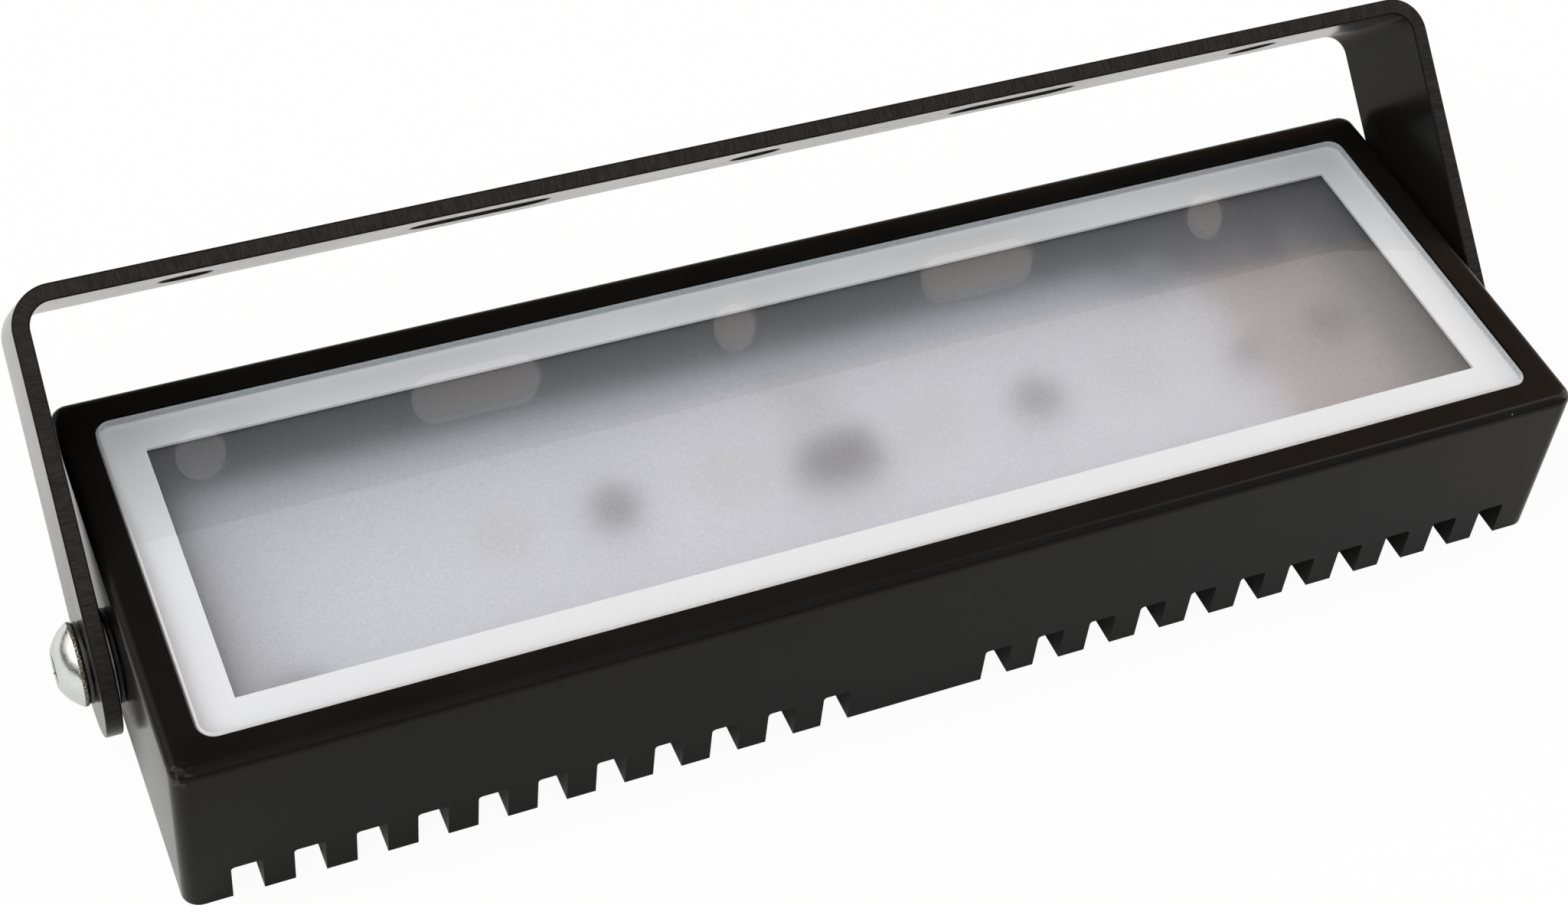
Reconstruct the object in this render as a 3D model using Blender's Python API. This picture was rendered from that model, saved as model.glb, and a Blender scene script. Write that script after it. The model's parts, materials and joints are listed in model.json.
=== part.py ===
"""Machine work light: a finned black housing with a glass window, held in a swivelling U bracket.

Metres, +Z up. X runs along the housing, Y to the rear. The origin is the middle of the flat
underside that the light lies on, and the glass faces up.
"""

import math

import bmesh
import bpy
from mathutils import Vector

# Housing
HOUSING_LENGTH = 0.250
HOUSING_WIDTH = 0.080
HOUSING_HEIGHT = 0.0334
HOUSING_CORNER_RADIUS = 0.003
HOUSING_TOP_FILLET = 0.0018
RIM_WIDTH = 0.0058
SEAT_DEPTH = 0.0046
SEAT_WIDTH = 0.0067
CAVITY_DEPTH = 0.0138
CAVITY_CORNER_RADIUS = 0.002

# Cooling fins: channels that run right through from front to rear
CHANNEL_WIDTH = 0.005
CHANNEL_HEIGHT = 0.0074
CHANNEL_PITCH = 0.010
CHANNEL_TOP_RADIUS = 0.0006
CENTRE_BLOCK_LENGTH = 0.025
END_BLOCK_LENGTH = 0.0075

# Window
GLASS_CORNER_RADIUS = 0.0031
GLASS_THICKNESS = 0.0023
GLASS_CHAMFER = 0.0004
GLASS_EDGE_GAP = 0.0003
GASKET_THICKNESS = 0.0006
GASKET_WIDTH = 0.0073
GASKET_INNER_RADIUS = 0.0001
DIFFUSER_THICKNESS = 0.0010
LAYER_GAP = 0.0002

# Light board, with places as shares of its half length and half width
BOARD_END_CLEARANCE = 0.0035
BOARD_SIDE_CLEARANCE = 0.0025
BOARD_THICKNESS = 0.0016
BOARD_CORNER_RADIUS = 0.0015
PAD_THICKNESS = 0.0005
PAD_INSET = 0.0015
BOARD_CUTOUT_LENGTH = 0.008
BOARD_CUTOUT_WIDTH = 0.006
BOARD_CUTOUT_PLACE_SHARE = 0.58
BOARD_CUTOUT_RADIUS = 0.001
SCREW_PLACE_SHARES = ((-0.918, -0.86), (-0.367, 0), (0.367, 0), (0.918, 0))
SCREW_HEAD_RADIUS = 0.0028
SCREW_HEAD_HEIGHT = 0.0021
SCREW_SHANK_RADIUS = 0.0014
SCREW_SHANK_LENGTH = 0.0065
SCREW_SOCKET_SIZE = 0.0010
SCREW_SOCKET_DEPTH = 0.0012
SCREW_HOLE_DEPTH = 0.0055
LED_PLACE_SHARES = (-0.550, -0.183, 0.183, 0.550)
LED_BASE_SIZE = 0.0070
LED_BASE_HEIGHT = 0.0008
LED_BASE_CORNER_RADIUS = 0.0004
LED_LENS_RADIUS = 0.0028
LED_LENS_HEIGHT = 0.0017
LED_LENS_RIM = 0.0003
PART_GAP = 0.0002

# Parts of the current regulator on the board
CHIP_SIZE = (0.0050, 0.0040, 0.0016)
CHIP_PLACE_SHARES = (0.812, 0.84)
COIL_RADIUS = 0.0038
COIL_HEIGHT = 0.0032
COIL_WAIST_DEPTH = 0.0009
COIL_FLANGE_HEIGHT = 0.0007
COIL_PLACE_SHARES = (0.900, 0.82)
CAPACITOR_RADIUS = 0.0031
CAPACITOR_HEIGHT = 0.0054
CAPACITOR_BASE_SIZE = 0.0066
CAPACITOR_BASE_HEIGHT = 0.0009
CAPACITOR_PLACE_SHARES = (0.665, 0.84)
DIODE_SIZE = (0.0044, 0.0036, 0.0022)
DIODE_PLACE_SHARES = (0.743, 0.84)
CHIP_EDGE_RADIUS = 0.0003
TERMINAL_LENGTH = 0.010
TERMINAL_WIDTH = 0.008
TERMINAL_HEIGHT = 0.0040
TERMINAL_PLACE_SHARES = (0.014, -0.10)
TERMINAL_EDGE_RADIUS = 0.0005
TERMINAL_HOLE_DEPTH = 0.0030

# Inner leads
LEAD_RADIUS = 0.0007
LEAD_SPACING = 0.0034
LEAD_BEND_RADIUS = 0.0022
LEAD_HOLE_GAP = 0.00025

# Plug-in connector in the rear wall
CONNECTOR_DROP = 0.0015
CONNECTOR_THREAD_RADIUS = 0.0060
CONNECTOR_THREAD_LENGTH = 0.0080
CONNECTOR_HEX_APOTHEM = 0.0070
CONNECTOR_HEX_THICKNESS = 0.0022
CONNECTOR_WALL_LENGTH = 0.0095
CONNECTOR_INNER_RADIUS = 0.0046
CONNECTOR_BACK_RADIUS = 0.0050
CONNECTOR_CHAMFER = 0.0004
CONNECTOR_BORE_GAP = 0.0002
INSERT_THICKNESS = 0.0080
INSERT_GAP = 0.00015
SEAL_THICKNESS = 0.0008
SEAL_GAP = 0.0002
PIN_RADIUS = 0.0005
PIN_CIRCLE_RADIUS = 0.0026
PIN_COUNT = 4
PIN_FREE_LENGTH = 0.0032
PIN_TAIL_LENGTH = 0.0015
PIN_HOLE_GAP = 0.0002
POCKET_LENGTH = 0.016
POCKET_DEPTH = 0.0085
POCKET_FRONT_MARGIN = 0.001
POCKET_CORNER_RADIUS = 0.002
BORE_BREAKTHROUGH = 0.0015

# Swivelling bracket, bent from sheet
BRACKET_THICKNESS = 0.0028
BRACKET_WIDTH = 0.025
BRACKET_REAR_CLEARANCE = 0.0164
BRACKET_INNER_BEND_RADIUS = 0.0040
BRACKET_TILT = math.radians(42.0)
BRACKET_END_GAP = 0.0017
PIVOT_HEIGHT = 0.0157
MOUNTING_HOLE_RADIUS = 0.0045
MOUNTING_HOLE_END_DISTANCE = 0.0295
SLOT_PLACE_SHARE = 0.5
SLOT_LENGTH = 0.0245

# Pivot bolts with their washers, outwards from the housing
SPACER_THICKNESS = 0.0006
SPACER_RADIUS = 0.0079
FRICTION_WASHER_THICKNESS = 0.00065
FRICTION_WASHER_RADIUS = 0.0078
HEAD_WASHER_THICKNESS = 0.00065
HEAD_WASHER_RADIUS = 0.0067
STACK_GAP = 0.00015
BOLT_RADIUS = 0.0039
BOLT_LENGTH = 0.016
BOLT_TIP_CHAMFER = 0.0008
BOLT_CLEARANCE = 0.0002
HEAD_RADIUS = 0.0069
HEAD_RIM_HEIGHT = 0.00085
HEAD_HEIGHT = 0.0041
HEAD_FLAT_RADIUS = 0.0031
HEX_SOCKET_APOTHEM = 0.0025
HEX_SOCKET_DEPTH = 0.0026
HEX_SOCKET_CONE_DEPTH = 0.0006
THREAD_INSERT_WALL = 0.0009
THREAD_INSERT_LENGTH = 0.0100
BOLT_BORE_DEPTH = 0.0114

# Fineness and cutting overrun
CORNER_STEPS = 4
FILLET_STEPS = 3
BEND_STEPS = 6
HOLE_STEPS = 24
ROUND_STEPS = 24
DOME_STEPS = 5
LEG_END_STEPS = 16
LEAD_BEND_STEPS = 3
LEAD_SIDES_RESOLUTION = 2
LENS_STEPS = 16
CAN_STEPS = 18
SCREW_STEPS = 12
PIN_STEPS = 8
BLOCK_CORNER_STEPS = 2
HEXAGON = 6
SHARP_ANGLE = math.radians(35)
ROUNDING_SHARE = 0.01
CUT_OVERRUN = 0.001

# Places that follow from the sizes above
GLASS_TOP = HOUSING_HEIGHT
GLASS_BOTTOM = GLASS_TOP - GLASS_THICKNESS
SEAT_HEIGHT = HOUSING_HEIGHT - SEAT_DEPTH
RECESS_HALF_LENGTH = HOUSING_LENGTH / 2 - RIM_WIDTH
RECESS_HALF_WIDTH = HOUSING_WIDTH / 2 - RIM_WIDTH
CAVITY_HALF_LENGTH = RECESS_HALF_LENGTH - SEAT_WIDTH
CAVITY_HALF_WIDTH = RECESS_HALF_WIDTH - SEAT_WIDTH
CAVITY_FLOOR_HEIGHT = SEAT_HEIGHT - CAVITY_DEPTH
BOARD_HALF_LENGTH = CAVITY_HALF_LENGTH - BOARD_END_CLEARANCE
BOARD_HALF_WIDTH = CAVITY_HALF_WIDTH - BOARD_SIDE_CLEARANCE
BOARD_CUTOUT_Y = BOARD_HALF_WIDTH * BOARD_CUTOUT_PLACE_SHARE
BOARD_BOTTOM = CAVITY_FLOOR_HEIGHT + PART_GAP + PAD_THICKNESS + PART_GAP
BOARD_TOP = BOARD_BOTTOM + BOARD_THICKNESS
PART_SEAT = BOARD_TOP + PART_GAP
CONNECTOR_HEIGHT = CAVITY_FLOOR_HEIGHT - CONNECTOR_DROP
POCKET_FRONT_Y = BOARD_CUTOUT_Y - BOARD_CUTOUT_WIDTH / 2 - POCKET_FRONT_MARGIN
LEG_INNER_FACE = HOUSING_LENGTH / 2 + BRACKET_END_GAP
LEG_OUTER_FACE = LEG_INNER_FACE + BRACKET_THICKNESS
BRACKET_REACH = HOUSING_WIDTH / 2 + BRACKET_REAR_CLEARANCE + BRACKET_THICKNESS
MOUNTING_HOLE_OFFSET = LEG_OUTER_FACE - MOUNTING_HOLE_END_DISTANCE
SLOT_OFFSET = MOUNTING_HOLE_OFFSET * SLOT_PLACE_SHARE
TO_REAR = -math.pi / 2


def material(name, colour, roughness, metallic=0.0):
    """A Principled material of the named colour."""
    result = bpy.data.materials.new(name)
    result.use_nodes = True
    shader = result.node_tree.nodes["Principled BSDF"]
    shader.inputs["Base Color"].default_value = (*colour, 1.0)
    shader.inputs["Roughness"].default_value = roughness
    shader.inputs["Metallic"].default_value = metallic
    result.diffuse_color = (*colour, 1.0)
    return result


def skin(name, loops, finish, closed=False):
    """A solid whose skin runs from loop to loop; a loop of one point is a tip.

    A closed skin runs on from the last loop to the first, as a ring does. Any other is capped.
    """
    mesh = bmesh.new()
    rows = [[mesh.verts.new(point) for point in loop] for loop in loops]
    pairs = list(zip(rows, rows[1:]))
    if closed:
        pairs.append((rows[-1], rows[0]))
    for lower, upper in pairs:
        count = max(len(lower), len(upper))
        for index in range(count):
            following = (index + 1) % count
            corners = []
            if len(lower) > 1:
                corners += [lower[index], lower[following]]
            else:
                corners += [lower[0]]
            if len(upper) > 1:
                corners += [upper[following], upper[index]]
            else:
                corners += [upper[0]]
            mesh.faces.new(corners)
    if not closed:
        for row in (rows[0], rows[-1]):
            if len(row) > 1:
                mesh.faces.new(row)
    bmesh.ops.recalc_face_normals(mesh, faces=mesh.faces)
    data = bpy.data.meshes.new(name)
    mesh.to_mesh(data)
    mesh.free()
    data.shade_smooth()
    data.set_sharp_from_angle(angle=SHARP_ANGLE)
    result = bpy.data.objects.new(name, data)
    bpy.context.collection.objects.link(result)
    if finish is not None:
        data.materials.append(finish)
    return result


def rounded_outline(half_length, half_width, radius, centre=(0, 0), steps=CORNER_STEPS):
    """The corners of a rectangle with rounded corners, anticlockwise."""
    points = []
    for quarter, (side_x, side_y) in enumerate(((1, -1), (1, 1), (-1, 1), (-1, -1))):
        for step in range(steps + 1):
            angle = math.pi / 2 * (quarter - 1 + step / steps)
            points.append((
                centre[0] + side_x * (half_length - radius) + radius * math.cos(angle),
                centre[1] + side_y * (half_width - radius) + radius * math.sin(angle),
            ))
    return points


def level(outline, height):
    """An outline in X and Y, laid at a height."""
    return [(x, y, height) for x, y in outline]


def plate(name, outline, bottom, top, finish):
    """An outline in X and Y, given a thickness."""
    return skin(name, [level(outline, bottom), level(outline, top)], finish)


def frame_plate(name, outer, inner, bottom, top, finish):
    """A flat frame between two outlines with as many points each."""
    loops = [level(outer, bottom), level(outer, top), level(inner, top), level(inner, bottom)]
    return skin(name, loops, finish, closed=True)


def circle(radius, along, sides=0, steps=ROUND_STEPS):
    """A ring about Z. With sides, it is a polygon whose flats lie at the radius."""
    points = []
    for step in range(steps):
        angle = math.tau * step / steps
        reach = radius
        if sides:
            share = math.pi / sides
            reach = radius / math.cos((angle + share) % (2 * share) - share)
        points.append((reach * math.cos(angle), reach * math.sin(angle), along))
    return points


def turned(name, profile, finish, closed=False, steps=ROUND_STEPS):
    """A solid turned about Z from (radius, along) or (flat distance, along, sides) points."""
    loops = []
    for radius, along, *sides in profile:
        if radius == 0:
            loops.append([(0, 0, along)])
        else:
            loops.append(circle(radius, along, *sides, steps=steps))
    return skin(name, loops, finish, closed)


def ring(name, inner_radius, outer_radius, thickness, finish, steps=ROUND_STEPS):
    """A flat washer about Z, from zero up."""
    profile = [
        (inner_radius, 0),
        (outer_radius, 0),
        (outer_radius, thickness),
        (inner_radius, thickness),
    ]
    return turned(name, profile, finish, closed=True, steps=steps)


def rod(name, radius, start, end, finish=None, steps=HOLE_STEPS):
    """A plain cylinder between two points."""
    start = Vector(start)
    direction = Vector(end) - start
    result = turned(name, [(radius, 0), (radius, direction.length)], finish, steps=steps)
    result.location = start
    result.rotation_euler = direction.to_track_quat("Z", "Y").to_euler()
    return result


def cut(target, cutter):
    """Takes the cutter's shape out of the target, and hides the cutter."""
    modifier = target.modifiers.new(cutter.name, "BOOLEAN")
    modifier.operation = "DIFFERENCE"
    modifier.solver = "EXACT"
    modifier.object = cutter
    cutter.hide_render = True
    cutter.display_type = "WIRE"


def put(item, location, turn_y=0.0, turn_x=0.0):
    """Places an object made about Z."""
    item.location = location
    item.rotation_euler = (turn_x, turn_y, 0)
    return item


def outwards(side):
    """The turn about Y that points Z away from the housing at one end."""
    return side * math.pi / 2


def make_materials():
    """The finishes, by name."""
    return {
        "powder_coat": material("black_powder_coat", (0.020, 0.018, 0.016), 0.42),
        "glass": material("clear_glass", (0.85, 0.90, 0.90), 0.05),
        "gasket": material("white_gasket", (0.82, 0.82, 0.81), 0.55),
        "diffuser": material("frosted_sheet", (0.72, 0.71, 0.74), 0.60),
        "board": material("white_board", (0.80, 0.80, 0.80), 0.45),
        "pad": material("grey_thermal_pad", (0.35, 0.36, 0.38), 0.80),
        "ceramic": material("white_ceramic", (0.78, 0.78, 0.75), 0.50),
        "phosphor": material("pale_phosphor", (0.80, 0.74, 0.52), 0.35),
        "moulding": material("black_moulding", (0.025, 0.025, 0.027), 0.50),
        "can": material("brushed_can", (0.62, 0.62, 0.63), 0.35, 1.0),
        "zinc": material("bright_zinc", (0.68, 0.69, 0.66), 0.28, 1.0),
        "steel": material("dark_steel", (0.10, 0.10, 0.10), 0.45, 1.0),
        "nickel": material("nickel_plate", (0.66, 0.63, 0.58), 0.25, 1.0),
        "gold": material("gold_plate", (0.83, 0.62, 0.25), 0.25, 1.0),
        "rubber": material("black_rubber", (0.030, 0.030, 0.030), 0.70),
        "insulation": material("white_insulation", (0.78, 0.78, 0.76), 0.50),
    }


def on_board(shares):
    """A place on the board, from its shares of the half length and half width."""
    return shares[0] * BOARD_HALF_LENGTH, shares[1] * BOARD_HALF_WIDTH


def screw_places():
    """Where the board's screws stand."""
    return [on_board(shares) for shares in SCREW_PLACE_SHARES]


def channel_outline(middle):
    """The upright section of one cooling channel, open below the housing."""
    half = CHANNEL_WIDTH / 2
    radius = CHANNEL_TOP_RADIUS
    points = [(middle - half, -CUT_OVERRUN), (middle + half, -CUT_OVERRUN)]
    for side, start in ((1, 0), (-1, math.pi / 2)):
        for step in range(FILLET_STEPS + 1):
            angle = start + math.pi / 2 * step / FILLET_STEPS
            points.append((
                middle + side * (half - radius) + radius * math.cos(angle),
                CHANNEL_HEIGHT - radius + radius * math.sin(angle),
            ))
    return points


def channel_places():
    """How far each channel's middle lies from the housing's, on one side."""
    first = (CENTRE_BLOCK_LENGTH + CHANNEL_WIDTH) / 2
    last = HOUSING_LENGTH / 2 - END_BLOCK_LENGTH - CHANNEL_WIDTH / 2
    steps = math.floor((last - first) / CHANNEL_PITCH + ROUNDING_SHARE)
    return [first + index * CHANNEL_PITCH for index in range(steps + 1)]


def channels_cutter():
    """All the cooling channels, as one cutter."""
    parts = []
    reach = HOUSING_WIDTH / 2 + CUT_OVERRUN
    for side in (-1, 1):
        for place in channel_places():
            middle = side * place
            outline = channel_outline(middle)
            loops = [[(x, y, z) for x, z in outline] for y in (-reach, reach)]
            parts.append(skin("channel", loops, None))
    return joined("channels_cutter", parts)


def joined(name, parts):
    """Several separate bodies as one object, each as it lies."""
    mesh = bmesh.new()
    for part in parts:
        copy = part.data.copy()
        part_matrix = part.rotation_euler.to_matrix().to_4x4()
        part_matrix.translation = part.location
        copy.transform(part_matrix)
        mesh.from_mesh(copy)
        bpy.data.meshes.remove(copy)
        bpy.data.objects.remove(part)
    data = bpy.data.meshes.new(name)
    mesh.to_mesh(data)
    mesh.free()
    result = bpy.data.objects.new(name, data)
    bpy.context.collection.objects.link(result)
    return result


def make_housing(finish):
    """The finned aluminium body, open at the top for the window."""
    half_length = HOUSING_LENGTH / 2
    half_width = HOUSING_WIDTH / 2
    loops = [level(rounded_outline(half_length, half_width, HOUSING_CORNER_RADIUS), 0)]
    for step in range(FILLET_STEPS + 1):
        angle = math.pi / 2 * step / FILLET_STEPS
        inset = HOUSING_TOP_FILLET * (1 - math.cos(angle))
        outline = rounded_outline(
            half_length - inset, half_width - inset, HOUSING_CORNER_RADIUS - inset)
        loops.append(level(outline, HOUSING_HEIGHT - HOUSING_TOP_FILLET * (1 - math.sin(angle))))
    housing = skin("housing", loops, finish)

    recess = rounded_outline(RECESS_HALF_LENGTH, RECESS_HALF_WIDTH, GLASS_CORNER_RADIUS)
    cavity = rounded_outline(CAVITY_HALF_LENGTH, CAVITY_HALF_WIDTH, CAVITY_CORNER_RADIUS)
    cut(housing, skin("cavity_cutter", [
        level(recess, HOUSING_HEIGHT + CUT_OVERRUN),
        level(recess, SEAT_HEIGHT),
        level(cavity, SEAT_HEIGHT),
        level(cavity, CAVITY_FLOOR_HEIGHT),
    ], None))
    cut(housing, channels_cutter())

    pocket_middle = (POCKET_FRONT_Y + CAVITY_HALF_WIDTH) / 2
    pocket_half_width = (CAVITY_HALF_WIDTH - POCKET_FRONT_Y) / 2
    pocket = rounded_outline(
        POCKET_LENGTH / 2, pocket_half_width, POCKET_CORNER_RADIUS, (0, pocket_middle))
    cut(housing, plate(
        "pocket_cutter", pocket,
        CAVITY_FLOOR_HEIGHT - POCKET_DEPTH, CAVITY_FLOOR_HEIGHT + CUT_OVERRUN, None))
    cut(housing, rod(
        "connector_bore_cutter",
        CONNECTOR_THREAD_RADIUS + CONNECTOR_BORE_GAP,
        (0, CAVITY_HALF_WIDTH - BORE_BREAKTHROUGH, CONNECTOR_HEIGHT),
        (0, half_width + CUT_OVERRUN, CONNECTOR_HEIGHT)))

    holes = []
    insert_radius = BOLT_RADIUS + BOLT_CLEARANCE + THREAD_INSERT_WALL + BOLT_CLEARANCE
    for side in (-1, 1):
        holes.append(rod(
            "bolt_bore", insert_radius,
            (side * (half_length - BOLT_BORE_DEPTH), 0, PIVOT_HEIGHT),
            (side * (half_length + CUT_OVERRUN), 0, PIVOT_HEIGHT)))
    for place in screw_places():
        holes.append(rod(
            "screw_bore", SCREW_SHANK_RADIUS + PART_GAP,
            (*place, CAVITY_FLOOR_HEIGHT - SCREW_HOLE_DEPTH),
            (*place, CAVITY_FLOOR_HEIGHT + CUT_OVERRUN)))
    cut(housing, joined("holes_cutter", holes))
    return housing


def make_window(finishes):
    """The glass, the white gasket under it and the frosted sheet on the seat."""
    half_length = RECESS_HALF_LENGTH - GLASS_EDGE_GAP
    half_width = RECESS_HALF_WIDTH - GLASS_EDGE_GAP
    radius = GLASS_CORNER_RADIUS - GLASS_EDGE_GAP
    full = rounded_outline(half_length, half_width, radius)
    chamfered = rounded_outline(
        half_length - GLASS_CHAMFER, half_width - GLASS_CHAMFER, radius - GLASS_CHAMFER)
    skin("safety_glass", [
        level(chamfered, GLASS_BOTTOM),
        level(full, GLASS_BOTTOM + GLASS_CHAMFER),
        level(full, GLASS_TOP - GLASS_CHAMFER),
        level(chamfered, GLASS_TOP),
    ], finishes["glass"])

    opening = rounded_outline(
        RECESS_HALF_LENGTH - GASKET_WIDTH,
        RECESS_HALF_WIDTH - GASKET_WIDTH,
        GASKET_INNER_RADIUS)
    gasket_top = GLASS_BOTTOM - LAYER_GAP
    gasket_bottom = gasket_top - GASKET_THICKNESS
    frame_plate("window_gasket", full, opening, gasket_bottom, gasket_top, finishes["gasket"])

    sheet_top = gasket_bottom - LAYER_GAP
    sheet_bottom = sheet_top - DIFFUSER_THICKNESS
    plate("diffuser_sheet", full, sheet_bottom, sheet_top, finishes["diffuser"])


def make_board(finishes):
    """The light board on its thermal pad, with its screws."""
    cutout = rounded_outline(
        BOARD_CUTOUT_LENGTH / 2, BOARD_CUTOUT_WIDTH / 2, BOARD_CUTOUT_RADIUS,
        (0, BOARD_CUTOUT_Y))
    layers = (
        ("led_board", 0, BOARD_BOTTOM, BOARD_THICKNESS, finishes["board"]),
        ("thermal_pad", PAD_INSET, CAVITY_FLOOR_HEIGHT + PART_GAP, PAD_THICKNESS,
         finishes["pad"]),
    )
    for name, inset, bottom, thickness, finish in layers:
        outline = rounded_outline(
            BOARD_HALF_LENGTH - inset, BOARD_HALF_WIDTH - inset, BOARD_CORNER_RADIUS)
        layer = plate(name, outline, bottom, bottom + thickness, finish)
        reach = (bottom - CUT_OVERRUN, bottom + thickness + CUT_OVERRUN)
        cutters = [plate("cutout", cutout, *reach, None)]
        for place in screw_places():
            cutters.append(rod(
                "screw_hole", SCREW_SHANK_RADIUS + PART_GAP,
                (*place, reach[0]), (*place, reach[1])))
        cut(layer, joined(name + "_cutter", cutters))

    head_seat = BOARD_TOP + PART_GAP
    for number, place in enumerate(screw_places(), 1):
        dome = [
            (SCREW_HEAD_RADIUS * math.cos(angle), SCREW_HEAD_HEIGHT * math.sin(angle))
            for angle in (math.pi / 2 * step / DOME_STEPS for step in range(DOME_STEPS - 1))
        ]
        screw = turned(f"board_screw_{number}", [
            (0, -SCREW_SHANK_LENGTH),
            (SCREW_SHANK_RADIUS, -SCREW_SHANK_LENGTH),
            (SCREW_SHANK_RADIUS, 0),
            *dome,
            (SCREW_SOCKET_SIZE, SCREW_HEAD_HEIGHT, HEXAGON),
            (SCREW_SOCKET_SIZE, SCREW_HEAD_HEIGHT - SCREW_SOCKET_DEPTH, HEXAGON),
            (0, SCREW_HEAD_HEIGHT - SCREW_SOCKET_DEPTH),
        ], finishes["steel"], steps=SCREW_STEPS)
        put(screw, (*place, head_seat))


def block(name, size, place, bottom, radius, finish):
    """A small moulded block on the board."""
    outline = rounded_outline(size[0] / 2, size[1] / 2, radius, place, BLOCK_CORNER_STEPS)
    return plate(name, outline, bottom, bottom + size[2], finish)


def make_leds(finishes):
    """The light sources: a white ceramic base and a phosphor lens for each."""
    base_size = (LED_BASE_SIZE, LED_BASE_SIZE, LED_BASE_HEIGHT)
    for number, share in enumerate(LED_PLACE_SHARES, 1):
        place = share * BOARD_HALF_LENGTH
        block(f"led_base_{number}", base_size, (place, 0), PART_SEAT,
              LED_BASE_CORNER_RADIUS, finishes["ceramic"])
        dome_height = LED_LENS_HEIGHT - LED_LENS_RIM
        dome = [
            (LED_LENS_RADIUS * math.cos(angle), LED_LENS_RIM + dome_height * math.sin(angle))
            for angle in (math.pi / 2 * step / DOME_STEPS for step in range(DOME_STEPS))
        ]
        lens = turned(f"led_lens_{number}", [
            (0, 0), (LED_LENS_RADIUS, 0), *dome, (0, LED_LENS_HEIGHT),
        ], finishes["phosphor"], steps=LENS_STEPS)
        put(lens, (place, 0, PART_SEAT + LED_BASE_HEIGHT + PART_GAP))


def make_regulator(finishes):
    """The current regulator's parts on the board."""
    block("driver_chip", CHIP_SIZE, on_board(CHIP_PLACE_SHARES), PART_SEAT, CHIP_EDGE_RADIUS,
          finishes["moulding"])
    block("input_diode", DIODE_SIZE, on_board(DIODE_PLACE_SHARES), PART_SEAT, CHIP_EDGE_RADIUS,
          finishes["moulding"])
    waist = COIL_RADIUS - COIL_WAIST_DEPTH
    coil = turned("driver_coil", [
        (0, 0),
        (COIL_RADIUS, 0),
        (COIL_RADIUS, COIL_FLANGE_HEIGHT),
        (waist, COIL_FLANGE_HEIGHT),
        (waist, COIL_HEIGHT - COIL_FLANGE_HEIGHT),
        (COIL_RADIUS, COIL_HEIGHT - COIL_FLANGE_HEIGHT),
        (COIL_RADIUS, COIL_HEIGHT),
        (0, COIL_HEIGHT),
    ], finishes["moulding"], steps=CAN_STEPS)
    put(coil, (*on_board(COIL_PLACE_SHARES), PART_SEAT))

    base_size = (CAPACITOR_BASE_SIZE, CAPACITOR_BASE_SIZE, CAPACITOR_BASE_HEIGHT)
    block("capacitor_base", base_size, on_board(CAPACITOR_PLACE_SHARES), PART_SEAT,
          CHIP_EDGE_RADIUS, finishes["moulding"])
    can = turned("input_capacitor", [
        (0, 0),
        (CAPACITOR_RADIUS, 0),
        (CAPACITOR_RADIUS, CAPACITOR_HEIGHT - CHIP_EDGE_RADIUS),
        (CAPACITOR_RADIUS - CHIP_EDGE_RADIUS, CAPACITOR_HEIGHT),
        (0, CAPACITOR_HEIGHT),
    ], finishes["can"], steps=CAN_STEPS)
    can_seat = PART_SEAT + CAPACITOR_BASE_HEIGHT + PART_GAP
    put(can, (*on_board(CAPACITOR_PLACE_SHARES), can_seat))


def lead_height():
    """The height of the wire entries in the terminal."""
    return PART_SEAT + TERMINAL_HEIGHT / 2


def terminal_back():
    """Where the terminal's rear face lies, which takes the wires."""
    return on_board(TERMINAL_PLACE_SHARES)[1] + TERMINAL_WIDTH / 2


def connector_back():
    """Where the connector's solder tails end, inside the housing."""
    return HOUSING_WIDTH / 2 - CONNECTOR_WALL_LENGTH - PIN_TAIL_LENGTH


def lead_route(x):
    """One inner lead, from the connector under the board, up its cut-out, to the terminal."""
    start_y = connector_back() - PART_GAP
    rise_y = BOARD_CUTOUT_Y
    top = lead_height()
    end_y = terminal_back() - TERMINAL_HOLE_DEPTH + PART_GAP
    bend = LEAD_BEND_RADIUS
    points = [(x, start_y, CONNECTOR_HEIGHT)]
    for step in range(LEAD_BEND_STEPS + 1):
        angle = math.pi / 2 * step / LEAD_BEND_STEPS
        points.append((
            x,
            rise_y + bend * (1 - math.sin(angle)),
            CONNECTOR_HEIGHT + bend * (1 - math.cos(angle)),
        ))
    for step in range(LEAD_BEND_STEPS + 1):
        angle = math.pi / 2 * step / LEAD_BEND_STEPS
        points.append((
            x,
            rise_y - bend * (1 - math.cos(angle)),
            top - bend * (1 - math.sin(angle)),
        ))
    points.append((x, end_y, top))
    return points


def make_lead(name, x, finish):
    """A round insulated wire along its route."""
    curve = bpy.data.curves.new(name, "CURVE")
    curve.dimensions = "3D"
    curve.bevel_depth = LEAD_RADIUS
    curve.bevel_resolution = LEAD_SIDES_RESOLUTION
    curve.use_fill_caps = True
    route = lead_route(x)
    spline = curve.splines.new("POLY")
    spline.points.add(len(route) - 1)
    for point, place in zip(spline.points, route):
        point.co = (*place, 1)
    curve.materials.append(finish)
    lead = bpy.data.objects.new(name, curve)
    bpy.context.collection.objects.link(lead)


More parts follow.
